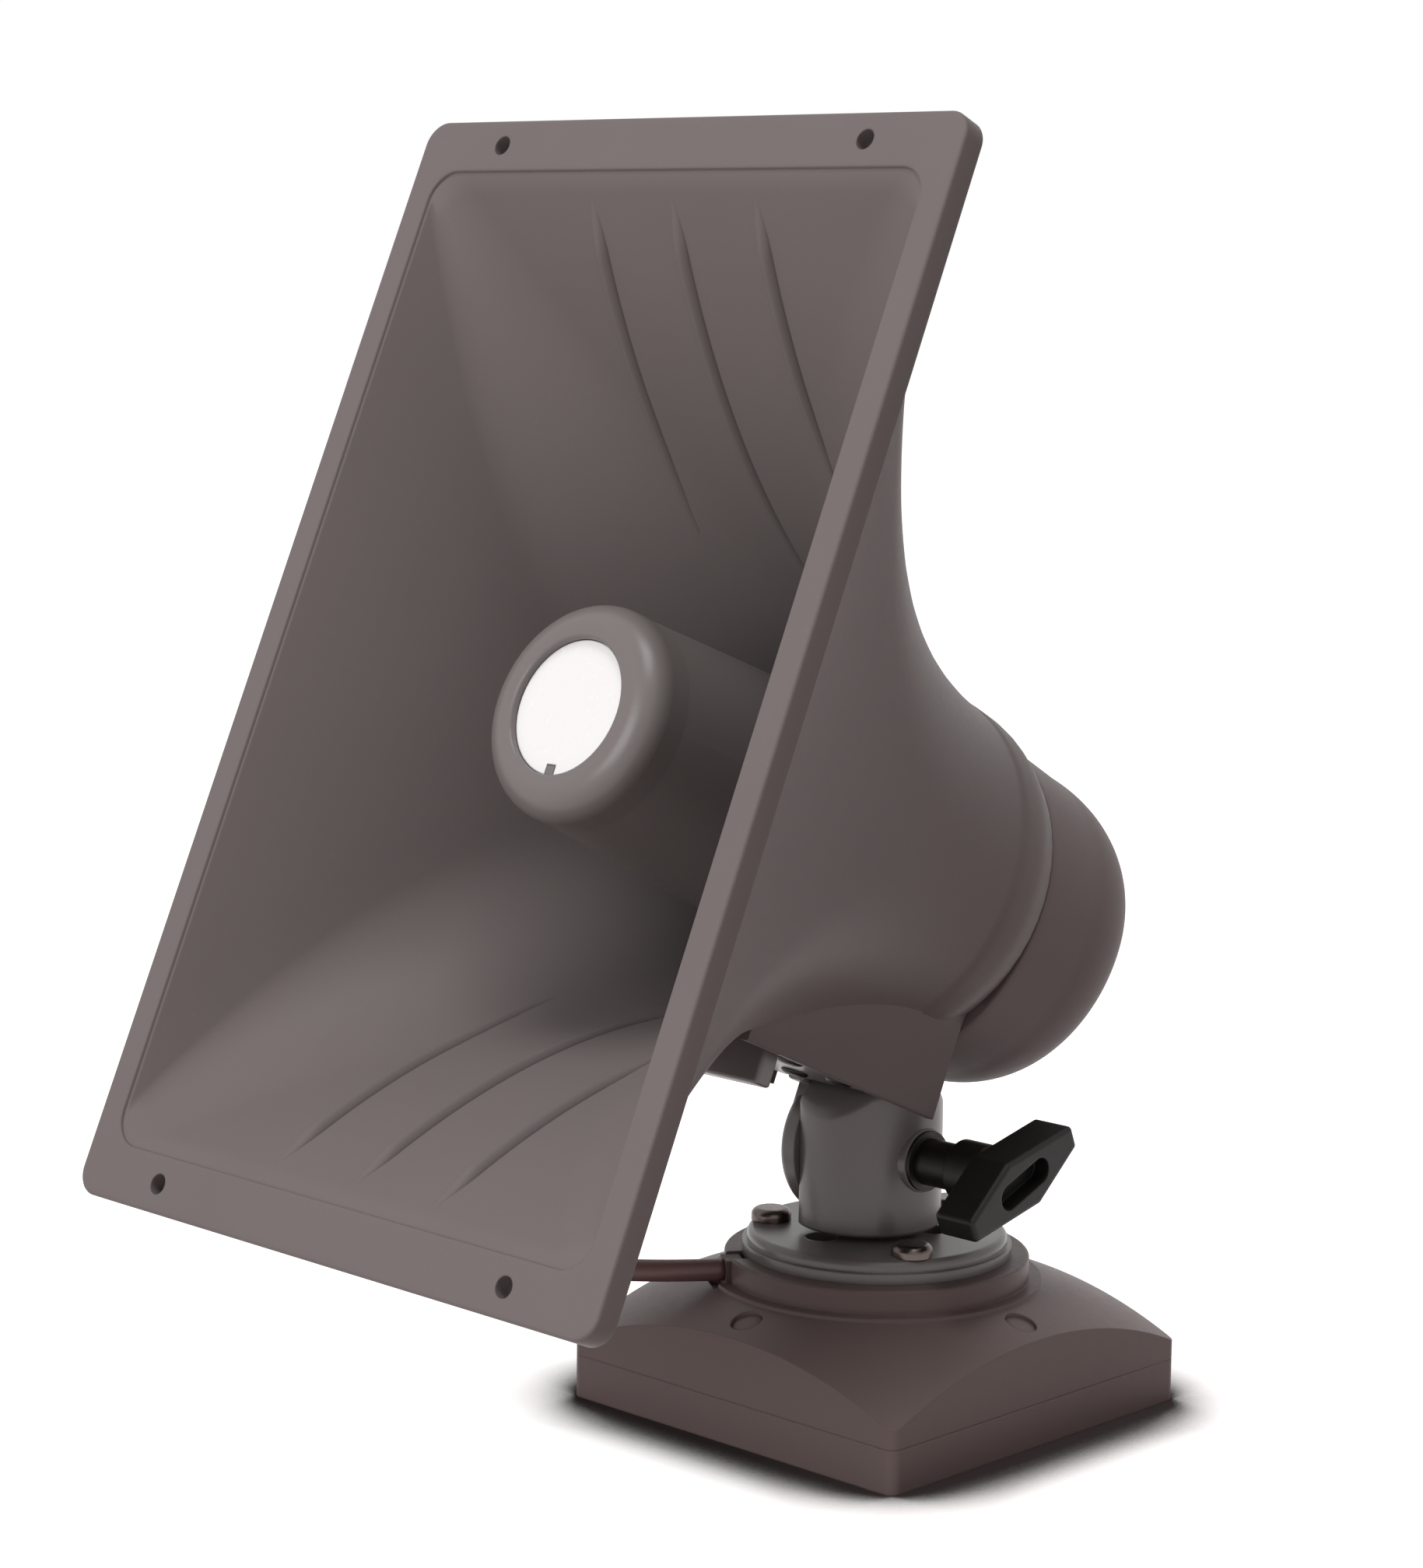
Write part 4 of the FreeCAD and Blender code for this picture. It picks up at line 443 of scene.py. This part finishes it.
def pan_screw(name, place, way, head_radius, head_height, shank_length, finish, shank_radius=2.0, tip=0.2):
    """A pan-head screw about one line: a plain shank under the seat, and over it a head whose
    height goes by the sine and whose radius by a power of the cosine of a quarter turn."""
    dome = np.linspace(0, np.pi / 2, 8)[:-1]
    crown = [(head_height * np.sin(d), head_radius * np.cos(d) ** 0.6) for d in dome]
    shank = [(-shank_length, tip), (-shank_length, shank_radius), (0, shank_radius)]
    profile = shank + [(0, head_radius), *crown, (head_height, tip)]
    return spun(name, profile, finish, place, way, around=48)


foot_screw_places = [(across, back) for back in (-130, -151) for across in (-8, 8)]
for number, (across, back) in enumerate(foot_screw_places):
    place = in_row([across, plate_under, back]) * 1000
    # Their dark steel is painted shade: these screws sit in the shade under the foot plate.
    screw = pan_screw(f"foot_screw_{number + 1}", place, leant([0, -1, 0]), head_radius=3.8, head_height=1.2,
                      shank_length=7.0, finish=dark_steel_painted_shade)
    fitted(screw, "head", "screw_steel", "foot_screws")

# The clamp knob: a wing moulded in black plastic over the clamp bolt, hollow on its outer
# face, with a fine satin grain.
knob_black = moulded("knob_black", from_srgb(24, 23, 22), 0.42, grain=1800, relief=0.000025, drift=0.15,
                     scuff=0.3, shine=0.25)
dress(knob_black, "knob_black", "wing_knob")

# The horn: a rectangular bell moulded in one piece of satin taupe plastic. Its inner wall
# opens from a round throat by the hyperbolic law, and a flat flange stiffens the mouth.
horn_satin = moulded("horn_satin", from_srgb(117, 110, 109), 0.45, grain=1300, drift=0.03, spread=0.04,
                     shine=0.08)
throat_radius, flare_length, bell_wall = 45.0, 150.0, 3.8
mouth_half = np.array([92.75, 146.25])
opening_half = mouth_half - (8.2, 14.3)
sinh_share, corner_share, squaring = 0.2, 0.995, 0.9
flange_corner, edge_round, step_round = 6.5, 0.9, 0.4
lip_profile = [(0.0, 3.5), (0.0, 6.4), (0.12, 6.68), (0.4, 6.8), (2.2, 6.8), (2.5, 6.68), (2.6, 6.4),
               (2.6, 3.9), (2.9, 3.6)]
pot_profile = [(148.0, 49.25), (150.5, 49.15), (153.5, 48.95), (156.0, 48.65), (158.0, 48.25), (160.0, 47.6),
               (162.0, 46.85), (164.0, 45.95), (165.6, 45.25), (166.2, 44.95), (166.4, 44.6), (166.4, 43.7),
               (152.0, 43.7), (150.4, 45.0)]


def flare(station, wall=0.0):
    """Half width, half height and corner of the bell at a depth. From the throat radius each
    half grows as cosh plus a share of sinh of the way covered towards the mouth, and the
    corner, a share of the half width, squares off by the square of that way."""
    way = 1 - station / flare_length
    ratio = opening_half / throat_radius
    reach = np.log((ratio + np.sqrt(ratio ** 2 - 1 + sinh_share ** 2)) / (1 + sinh_share)) * way
    half = throat_radius * (np.cosh(reach) + sinh_share * np.sinh(reach))
    return half[0] + wall, half[1] + wall, half[0] * (corner_share - squaring * way ** 2) + wall


def flange_ring(inset, depth):
    """The flange's outline at a depth, drawn in from its widest by the inset."""
    return rounded_ring(*(mouth_half - inset), flange_corner - inset, depth)


width, height, corner = flare(0.0)
bend = np.linspace(0, np.pi / 2, 6)
inner = [rounded_ring(*flare(depth), depth) for depth in np.linspace(flare_length, 0.95, 54)]
inner += [rounded_ring(width, height, corner, 0.85)]
for b in bend:
    widened = 0.1 + step_round * (1 - np.cos(b))
    inner += [rounded_ring(width + widened, height + widened, corner + 0.3, step_round * (1 - np.sin(b)))]
face_start = np.array([width + 0.5, height + 0.5, corner + 0.3])
face_end = np.array([*(mouth_half - edge_round), flange_corner - edge_round])
face = [rounded_ring(*(face_start + (face_end - face_start) * share), 0.0)
        for share in np.linspace(0.1, 1, 7)]
outer_edge = [flange_ring(edge_round * (1 - np.sin(b)), edge_round * (1 - np.cos(b))) for b in bend[1:]]
lip = [flange_ring(inset, depth) for inset, depth in lip_profile]
outer = [rounded_ring(*flare(depth, bell_wall), depth) for depth in np.linspace(3.6, 147.5, 60)]
pot = [rounded_ring(radius, radius, radius * corner_share, depth) for depth, radius in pot_profile]
bell_rings = in_row(inner + face + outer_edge + lip + outer + pot)
bell = carried("horn_moulding", bell_rings, horn_satin, round_again=True)

# Four screw holes near the flange's corners: a rod bores each through the moulding, and a
# short collar of the same plastic stands behind it.
hole_across, hole_up, hole_radius = 62.5, 139.1, 2.6
collar_radius, collar_front, collar_back = 4.4, -3.4, -6.8
rod_profile = [(-9.0, hole_radius), (3.0, hole_radius)]
collar_bore = hole_radius + 0.02
collar_profile = [(collar_front, collar_bore), (collar_back, collar_bore), (collar_back, collar_radius - 0.2),
                  (collar_back + 0.2, collar_radius), (collar_front, collar_radius)]
hole_places = [(x, y) for x in (-hole_across, hole_across) for y in (-hole_up, hole_up)]
for number, (x, y) in enumerate(hole_places):
    centre, way = in_row([x, y, 0]) * 1000, leant([0, 0, 1])
    rod = spun(f"hole_rod_{number}", rod_profile, horn_satin, centre, way, around=48)
    bore = bell.modifiers.new(f"hole_{number}", "BOOLEAN")
    bore.operation, bore.solver, bore.object = "DIFFERENCE", "EXACT", rod
    bpy.context.view_layer.update()
    bored = bpy.data.meshes.new_from_object(bell.evaluated_get(bpy.context.evaluated_depsgraph_get()))
    bell.modifiers.clear()
    bell.data = bored
    bpy.data.objects.remove(rod)
    collar = spun(f"hole_collar_{number}", collar_profile, horn_satin, centre, way, around=48,
                  round_again=True)
    fitted(collar, "head", "horn_bell", "horn_bell")
bell.data.set_sharp_from_angle(angle=sharp_angle)
fitted(bell, "head", "horn_bell", "horn_bell")

# The ribs: three soft ridges above and three below, moulded into the flare, that swell
# quickly behind the mouth and fade out down the throat.
rib_pitch, rib_height, rib_start, side_run, middle_run = 28.3, 3.0, 2.4, 78.0, 98.0
rib_least, rib_spread, rib_sink, rib_root = 0.5, 1.7, 0.05, 1.2


def wall_height(station, across, wall=0.0):
    """Height of the bell's wall over the axis: flat, then falling round the corner's arc."""
    width, height, corner = flare(station, wall)
    beyond = np.clip(np.abs(across) - (width - corner), 0, corner)
    return height - corner + np.sqrt(corner ** 2 - beyond ** 2)


def rib_swell(depth, run):
    """How far a rib stands up, from 0 to 1: a smooth step behind the mouth, then a fall by a
    power of the depth to nothing at the end of its run."""
    step = np.clip((depth - 4.0) / 9.0, 0, 1)
    return step * step * (3 - 2 * step) * (1 - np.clip((depth - 12) / (run - 12), 0, 1) ** 1.6)


over = np.linspace(-1, 1, 15)
for side, level in ((-1, "lower"), (1, "upper")):
    for place, run in ((-1, side_run), (0, middle_run), (1, side_run)):
        rings = []
        for depth in rib_start + (run - rib_start) * np.linspace(0, 1, 48) ** 1.3:
            swell = rib_swell(depth, run)
            x = place * rib_pitch + (rib_least + rib_spread * swell ** 0.6) * over
            wall = wall_height(depth, x)
            top = wall - rib_height * swell * np.cos(over * np.pi / 2) ** 0.8 + rib_sink
            under = np.column_stack([x[[-1, 0]], side * (wall[[-1, 0]] + rib_root), [-depth, -depth]])
            rings.append(np.vstack([np.column_stack([x, side * top, np.full(len(x), -depth)]), under]))
        rib = carried(f"rib_{level}_{place + 2}", in_row(rings), horn_satin)
        fitted(rib, "head", "horn_bell", "horn_bell")

# The foot channel: two flat walls moulded under the pot, which hold the plate between
# them. Each runs into the bell's outside over a hollow saddle.
wall_inside, wall_outside, wall_foot, wall_chamfer = 27.4, 30.0, 62.4, 0.3
channel_front, channel_back, saddle_front, pot_front = 88, 166, 80, 148
saddle_shares = (0, 0.2, 0.47, 0.76, 1)
saddle_tops, saddle_reaches = (61.2, 59.4, 52, 47.5, 44), (7, 10, 8.5, 4.5, 2)
saddle_aim, saddle_pull, wall_root, least_cover = 28.7, 0.44, 0.6, 1.0


def channel_outline(depth):
    """The right wall's outline at a depth: a flat inner face, a chamfered foot, and outside it
    a saddle, the curve of second degree from the wall's top to where it meets bell or pot.
    No point comes nearer the bell's inner wall than the least cover."""
    share = (depth - saddle_front) / (channel_back - saddle_front)
    wall_top = np.interp(share, saddle_shares, saddle_tops)
    reach = np.interp(share, saddle_shares, saddle_reaches)
    if depth < pot_front:
        meet = wall_height(depth, wall_outside + reach, bell_wall / 2)
    else:
        radius = np.interp(depth, (pot_front, 158, channel_back), (47.6, 46.5, 43.2))
        meet = np.sqrt(radius ** 2 - (wall_outside + reach) ** 2)
    low, high = np.array([wall_outside, -wall_top]), np.array([wall_outside + reach, -meet])
    pull = (low + high) / 2 + (np.array([saddle_aim, -meet]) - (low + high) / 2) * saddle_pull
    t = np.linspace(0, 1, 16)[:, None]
    saddle = (1 - t) ** 2 * low + 2 * t * (1 - t) * pull + t ** 2 * high
    foot = [(wall_inside, -wall_foot), (wall_outside - wall_chamfer, -wall_foot),
            (wall_outside, wall_chamfer - wall_foot)]
    loop = np.vstack([foot, saddle, [(wall_inside, wall_root - meet)]])
    if depth < pot_front:
        loop[:, 1] = np.minimum(loop[:, 1], -wall_height(depth, loop[:, 0]) - least_cover)
    return loop


for side, hand in ((-1, "left"), (1, "right")):
    rings = []
    for depth in np.linspace(channel_front, channel_back, 44):
        x, y = channel_outline(depth).T
        rings.append(np.column_stack([side * x, y, np.full(len(x), -depth)]))
    fitted(carried(f"channel_wall_{hand}", in_row(rings), horn_satin), "head", "horn_bell", "horn_bell")

# The reflector: a moulded bullet on the horn's axis that folds the sound back, closed at
# the front by a thin white disc.
reflector_satin = moulded("reflector_satin", from_srgb(120, 114, 113), 0.3, grain=1600, relief=0.000006,
                          drift=0.03, spread=0.03, shine=0.3)
dress(reflector_satin, "reflector", "reflector_bullet")
white_disc = moulded("white_disc", from_srgb(244, 244, 244), 0.25, grain=2200, relief=0.000008, drift=0.01,
                     scuff=0.2)
dress(white_disc, "label_white", "label_disc")

# The throat and the compression driver behind it: a moulded tube and plug, an amber film
# diaphragm with its wound coil, steel plates and a ferrite ring.
throat_plastic = moulded("throat_plastic", from_srgb(104, 99, 97), 0.45)
dress(throat_plastic, "throat_plastic", "throat_tube", "phase_plug")
amber_film = moulded("amber_film", from_srgb(176, 118, 54), 0.22, grain=2600, relief=0.000008)
dress(amber_film, "diaphragm_film", "diaphragm")
coil_wire = metal("coil_wire", from_srgb(196, 116, 66), 0.3, stretch=(1, 1, 60), scale=160)
dress(coil_wire, "coil_wire", "voice_coil")
zinc_plate = metal("zinc_plate", from_srgb(176, 178, 182), 0.34, stretch=(1, 1, 1), scale=300)
dress(zinc_plate, "driver_steel", "driver_plate", "driver_yoke")
ferrite = moulded("ferrite", from_srgb(58, 58, 62), 0.62, grain=1100, relief=0.00006, drift=0.2)
dress(ferrite, "magnet", "driver_magnet")

# The rear cover and the cable gland: a moulded cap, a little fuller below the axis, held
# over the driver by three screws, and a ribbed nylon nut on a boss that grips the cable.
rear_satin = moulded("rear_satin", from_srgb(114, 104, 103), 0.45, grain=1300, drift=0.03, spread=0.04,
                     shine=0.08)
cap_front, cap_radius, cap_taper, lower_fullness = 166.4, 44.9, 0.09, 1.13
shoulder_front, shoulder_length, crown_radius, shoulder_fall = 191.6, 26.4, 29.6, 13
gland_lean, gland_station, rear_screw_circle = np.radians(75), 178, 13
backwards = leant([0, 0, -1])

cap_profile = [(166.75, 40.0), (166.75, 44.4), (167.0, 44.75)]
cap_profile += [(depth, cap_radius - cap_taper * (depth - cap_front))
                for depth in np.linspace(167.6, 191, 12)]
cap_profile += [(shoulder_front + shoulder_length * np.sin(b), crown_radius + shoulder_fall * np.cos(b))
                for b in np.linspace(0, np.pi / 2, 24)[1:]]
cap_profile += [(218.4, 20.0), (218.6, 8.0), (218.65, 0.4)]
turn = np.linspace(0, 2 * np.pi, 160, endpoint=False)
deeper = np.where(np.sin(turn) < 0, lower_fullness, 1.0)
rings = [np.column_stack([radius * np.cos(turn), radius * np.sin(turn) * deeper, np.full(len(turn), -depth)])
         for depth, radius in cap_profile]
fitted(carried("rear_cap", in_row(rings), rear_satin), "head", "rear_shell", "rear_cover")

seal_profile = [(166.3, 40.0), (166.3, 44.0), (166.55, 44.2), (166.85, 44.0), (166.85, 40.0)]
seal = spun("pot_seal", seal_profile, rear_satin, in_row([0, 0, 0]) * 1000, backwards, around=160,
            round_again=True)
fitted(seal, "head", "seal_rubber", "rear_gasket")

boss_profile = [(40, 6.0), (40, 10.5), (43.2, 10.0), (44.0, 8.6), (45.0, 7.7), (46.4, 7.4), (49.6, 7.4),
                (50, 7.0), (50, 3.0)]
boss = spun("gland_boss", boss_profile, rear_satin, in_row([0, 0, -gland_station]) * 1000,
            leant([-np.sin(gland_lean), -np.cos(gland_lean), 0]), around=64)
fitted(boss, "head", "rear_shell", "rear_cover")

for number in range(3):
    angle = np.radians(120 * number + 90)
    place = in_row([rear_screw_circle * np.cos(angle), rear_screw_circle * np.sin(angle), -218.5]) * 1000
    screw = pan_screw(f"rear_screw_{number + 1}", place, backwards, head_radius=4.0, head_height=2.2,
                      shank_length=20.0, finish=screw_steel)
    fitted(screw, "head", "screw_steel", "rear_screws")
gland_nylon = moulded("gland_nylon", from_srgb(84, 80, 79), 0.45)
dress(gland_nylon, "gland_plastic", "cable_gland")

# The cable: a round jacketed lead that leaves the rubber bush in the base, loops out
# beside the mount and enters the gland behind the horn. It is drawn as two runs split at its middle.
cable_route = np.array([
    (-0.02388, -0.03540, 0.038), (-0.03227, -0.04784, 0.038), (-0.053, -0.064, 0.038),
    (-0.072, -0.057, 0.044), (-0.084, -0.040, 0.060), (-0.090, -0.018, 0.082),
    (-0.088, 0.004, 0.104), (-0.07534, 0.01548, 0.11878), (-0.06085, 0.01706, 0.12232),
])
cable_radius = 0.003


def smooth_line(points):
    """The points along a NURBS line of order 3 drawn by the given points, from the first of
    them to the last."""
    line = bpy.data.curves.new("cable_line", "CURVE")
    line.dimensions = "3D"
    line.resolution_u = 16
    spline = line.splines.new("NURBS")
    spline.points.add(len(points) - 1)
    spline.points.foreach_set("co", np.column_stack([points, np.ones(len(points))]).ravel())
    spline.order_u = 3
    spline.use_endpoint_u = True
    holder = bpy.data.objects.new("cable_line", line)
    bpy.context.scene.collection.objects.link(holder)
    mesh = bpy.data.meshes.new_from_object(holder)
    path = np.array([v.co for v in mesh.vertices])
    bpy.data.objects.remove(holder)
    bpy.data.meshes.remove(mesh)
    return path


def tube(name, path, radius, material, around=32):
    """A round tube along a path: at each point the ring stands square to the path, in a
    pair of directions carried along without twist. Both ends are closed by a centre point."""
    ways = np.gradient(path, axis=0)
    ways /= np.linalg.norm(ways, axis=1)[:, None]
    side = np.cross(ways, (0.13, 0.21, 0.97))
    side /= np.linalg.norm(side, axis=1)[:, None]
    over = np.cross(ways, side)
    turn = np.linspace(0, 2 * np.pi, around, endpoint=False)[:, None]
    rings = path[:, None] + radius * (np.cos(turn) * side[:, None] + np.sin(turn) * over[:, None])
    points = np.vstack([rings.reshape(-1, 3), path[:1], path[-1:]])
    here = np.arange(around)
    beside, base = (here + 1) % around, (len(path) - 1) * around
    first, last = np.full(around, len(points) - 2), np.full(around, len(points) - 1)
    start_cap = np.column_stack([beside, here, first]).tolist()
    end_cap = np.column_stack([base + here, base + beside, last]).tolist()
    return new_piece(name, points, ring_faces(len(path), around) + start_cap + end_cap, material)


cable_jacket = moulded("cable_jacket", from_srgb(118, 90, 88), 0.42, grain=1100, relief=0.00003, drift=0.08)
cable_path = smooth_line(cable_route)
steps = np.linalg.norm(np.diff(cable_path, axis=0), axis=1)
middle = int(np.argmin(np.abs(np.cumsum(steps) - steps.sum() / 2))) + 1
for name, path, bodies in (
        ("cable_lower", cable_path[:middle + 1], ("base", "neck")),
        ("cable_upper", cable_path[middle:], ("neck", "head"))):
    run = tube(name, path, cable_radius, cable_jacket)
    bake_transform(run)
    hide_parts("speaker_cable")

# The floor: a plain pale sheet, evenly bright where it lies open. Only close round the
# base's underside does it darken, into a soft contact shadow.
floor_reach = 6.0
corners = [(x * floor_reach, y * floor_reach, 0) for x, y in ((-1, -1), (1, -1), (1, 1), (-1, 1))]
floor_mesh = bpy.data.meshes.new("floor")
floor_mesh.from_pydata(corners, [], [(0, 1, 2, 3)])
floor = bpy.data.objects.new("floor", floor_mesh)
bpy.context.scene.collection.objects.link(floor)


def seen_rays(add, join):
    """One for a ray from the camera, from a gloss or through a clear piece, nought for others:
    the greatest of the three marks."""
    rays = add("ShaderNodeLightPath")
    either = add("ShaderNodeMath", operation="MAXIMUM")
    most = add("ShaderNodeMath", operation="MAXIMUM")
    join.new(rays.outputs["Is Camera Ray"], either.inputs[0])
    join.new(rays.outputs["Is Glossy Ray"], either.inputs[1])
    join.new(either.outputs[0], most.inputs[0])
    join.new(rays.outputs["Is Transmission Ray"], most.inputs[1])
    return most.outputs[0]


floor_pale, join, shader, add = nodes_of("floor_pale")
shader.inputs["Roughness"].default_value = 0.9
shader.inputs["Specular IOR Level"].default_value = 0.0
shader.inputs["Emission Color"].default_value = (1, 1, 1, 1)
nearby = add("ShaderNodeAmbientOcclusion", samples=16, Distance=0.03)
open_floor = remapped(add, 0.72, 0.98, 0.0, 1.0)
join.new(nearby.outputs["AO"], open_floor.inputs["Value"])
sheet = add("ShaderNodeMix", data_type="RGBA")
sheet.inputs[6].default_value = (0.06, 0.05, 0.05, 1)
sheet.inputs[7].default_value = (0.55, 0.5, 0.49, 1)
join.new(open_floor.outputs["Result"], sheet.inputs[0])
join.new(sheet.outputs[2], shader.inputs["Base Color"])
glow = add("ShaderNodeMath", operation="MULTIPLY")
join.new(seen_rays(add, join), glow.inputs[0])
join.new(open_floor.outputs["Result"], glow.inputs[1])
join.new(glow.outputs[0], shader.inputs["Emission Strength"])
floor_mesh.materials.append(floor_pale)

# The light: a broad soft lamp before the mouth, a weaker one above, and an even room that
# looks white but lights the speaker faintly, with a little warmth.
room_level = 0.31
world = bpy.data.worlds.new("room")
bpy.context.scene.world = world
world.use_nodes = True
sky = world.node_tree.nodes["Background"]
add, join = adder(world.node_tree), world.node_tree.links
seen = seen_rays(add, join)
tint = add("ShaderNodeMix", data_type="RGBA")
tint.inputs[6].default_value = (1.0, 0.88, 0.87, 1)
tint.inputs[7].default_value = (1, 1, 1, 1)
level = remapped(add, 0.0, 1.0, room_level, 1.0)
join.new(seen, level.inputs["Value"])
join.new(seen, tint.inputs[0])
join.new(tint.outputs[2], sky.inputs["Color"])
join.new(level.outputs["Result"], sky.inputs["Strength"])


def lamp(name, place, aim, size, watts, tint):
    """A square soft lamp at a place, turned to face a point: its third axis goes from the
    point to the lamp, and its first lies level."""
    light = bpy.data.lights.new(name, "AREA")
    light.size = size
    light.energy = watts
    light.color = tint
    holder = bpy.data.objects.new(name, light)
    back = np.array(place, float) - np.array(aim, float)
    back /= np.linalg.norm(back)
    side = np.cross((0, 0, 1.0), back)
    side /= np.linalg.norm(side)
    stance = np.eye(4)
    stance[:3] = np.column_stack([side, np.cross(back, side), back, place])
    holder.matrix_world = Matrix(stance.tolist())
    bpy.context.scene.collection.objects.link(holder)


lamp("front", (0.0, -2.7, 1.2), (0, -0.05, 0.18), size=1.5, watts=43, tint=(0.98, 1.0, 1.0))
lamp("above", (0.35, -0.5, 2.4), (0, -0.05, 0.1), size=1.0, watts=20, tint=(1.0, 1.0, 1.0))

# The camera: a long lens, a little right of the mouth and just above it, turned so that
# the horn stands as in the photograph.
lens = bpy.data.cameras.new("camera")
lens.lens = 84.32
lens.sensor_width = 36.0
lens.clip_end = 50.0
camera = bpy.data.objects.new("camera", lens)
camera.matrix_world = Matrix([
    (0.71685692, -0.10770878, 0.68885047, 0.64409),
    (0.69711900, 0.09388476, -0.71078179, -0.73142),
    (0.01188488, 0.98973960, 0.14238778, 0.30933),
    (0, 0, 0, 1)])
bpy.context.scene.collection.objects.link(camera)
bpy.context.scene.camera = camera
bpy.context.scene.view_settings.view_transform = "Standard"
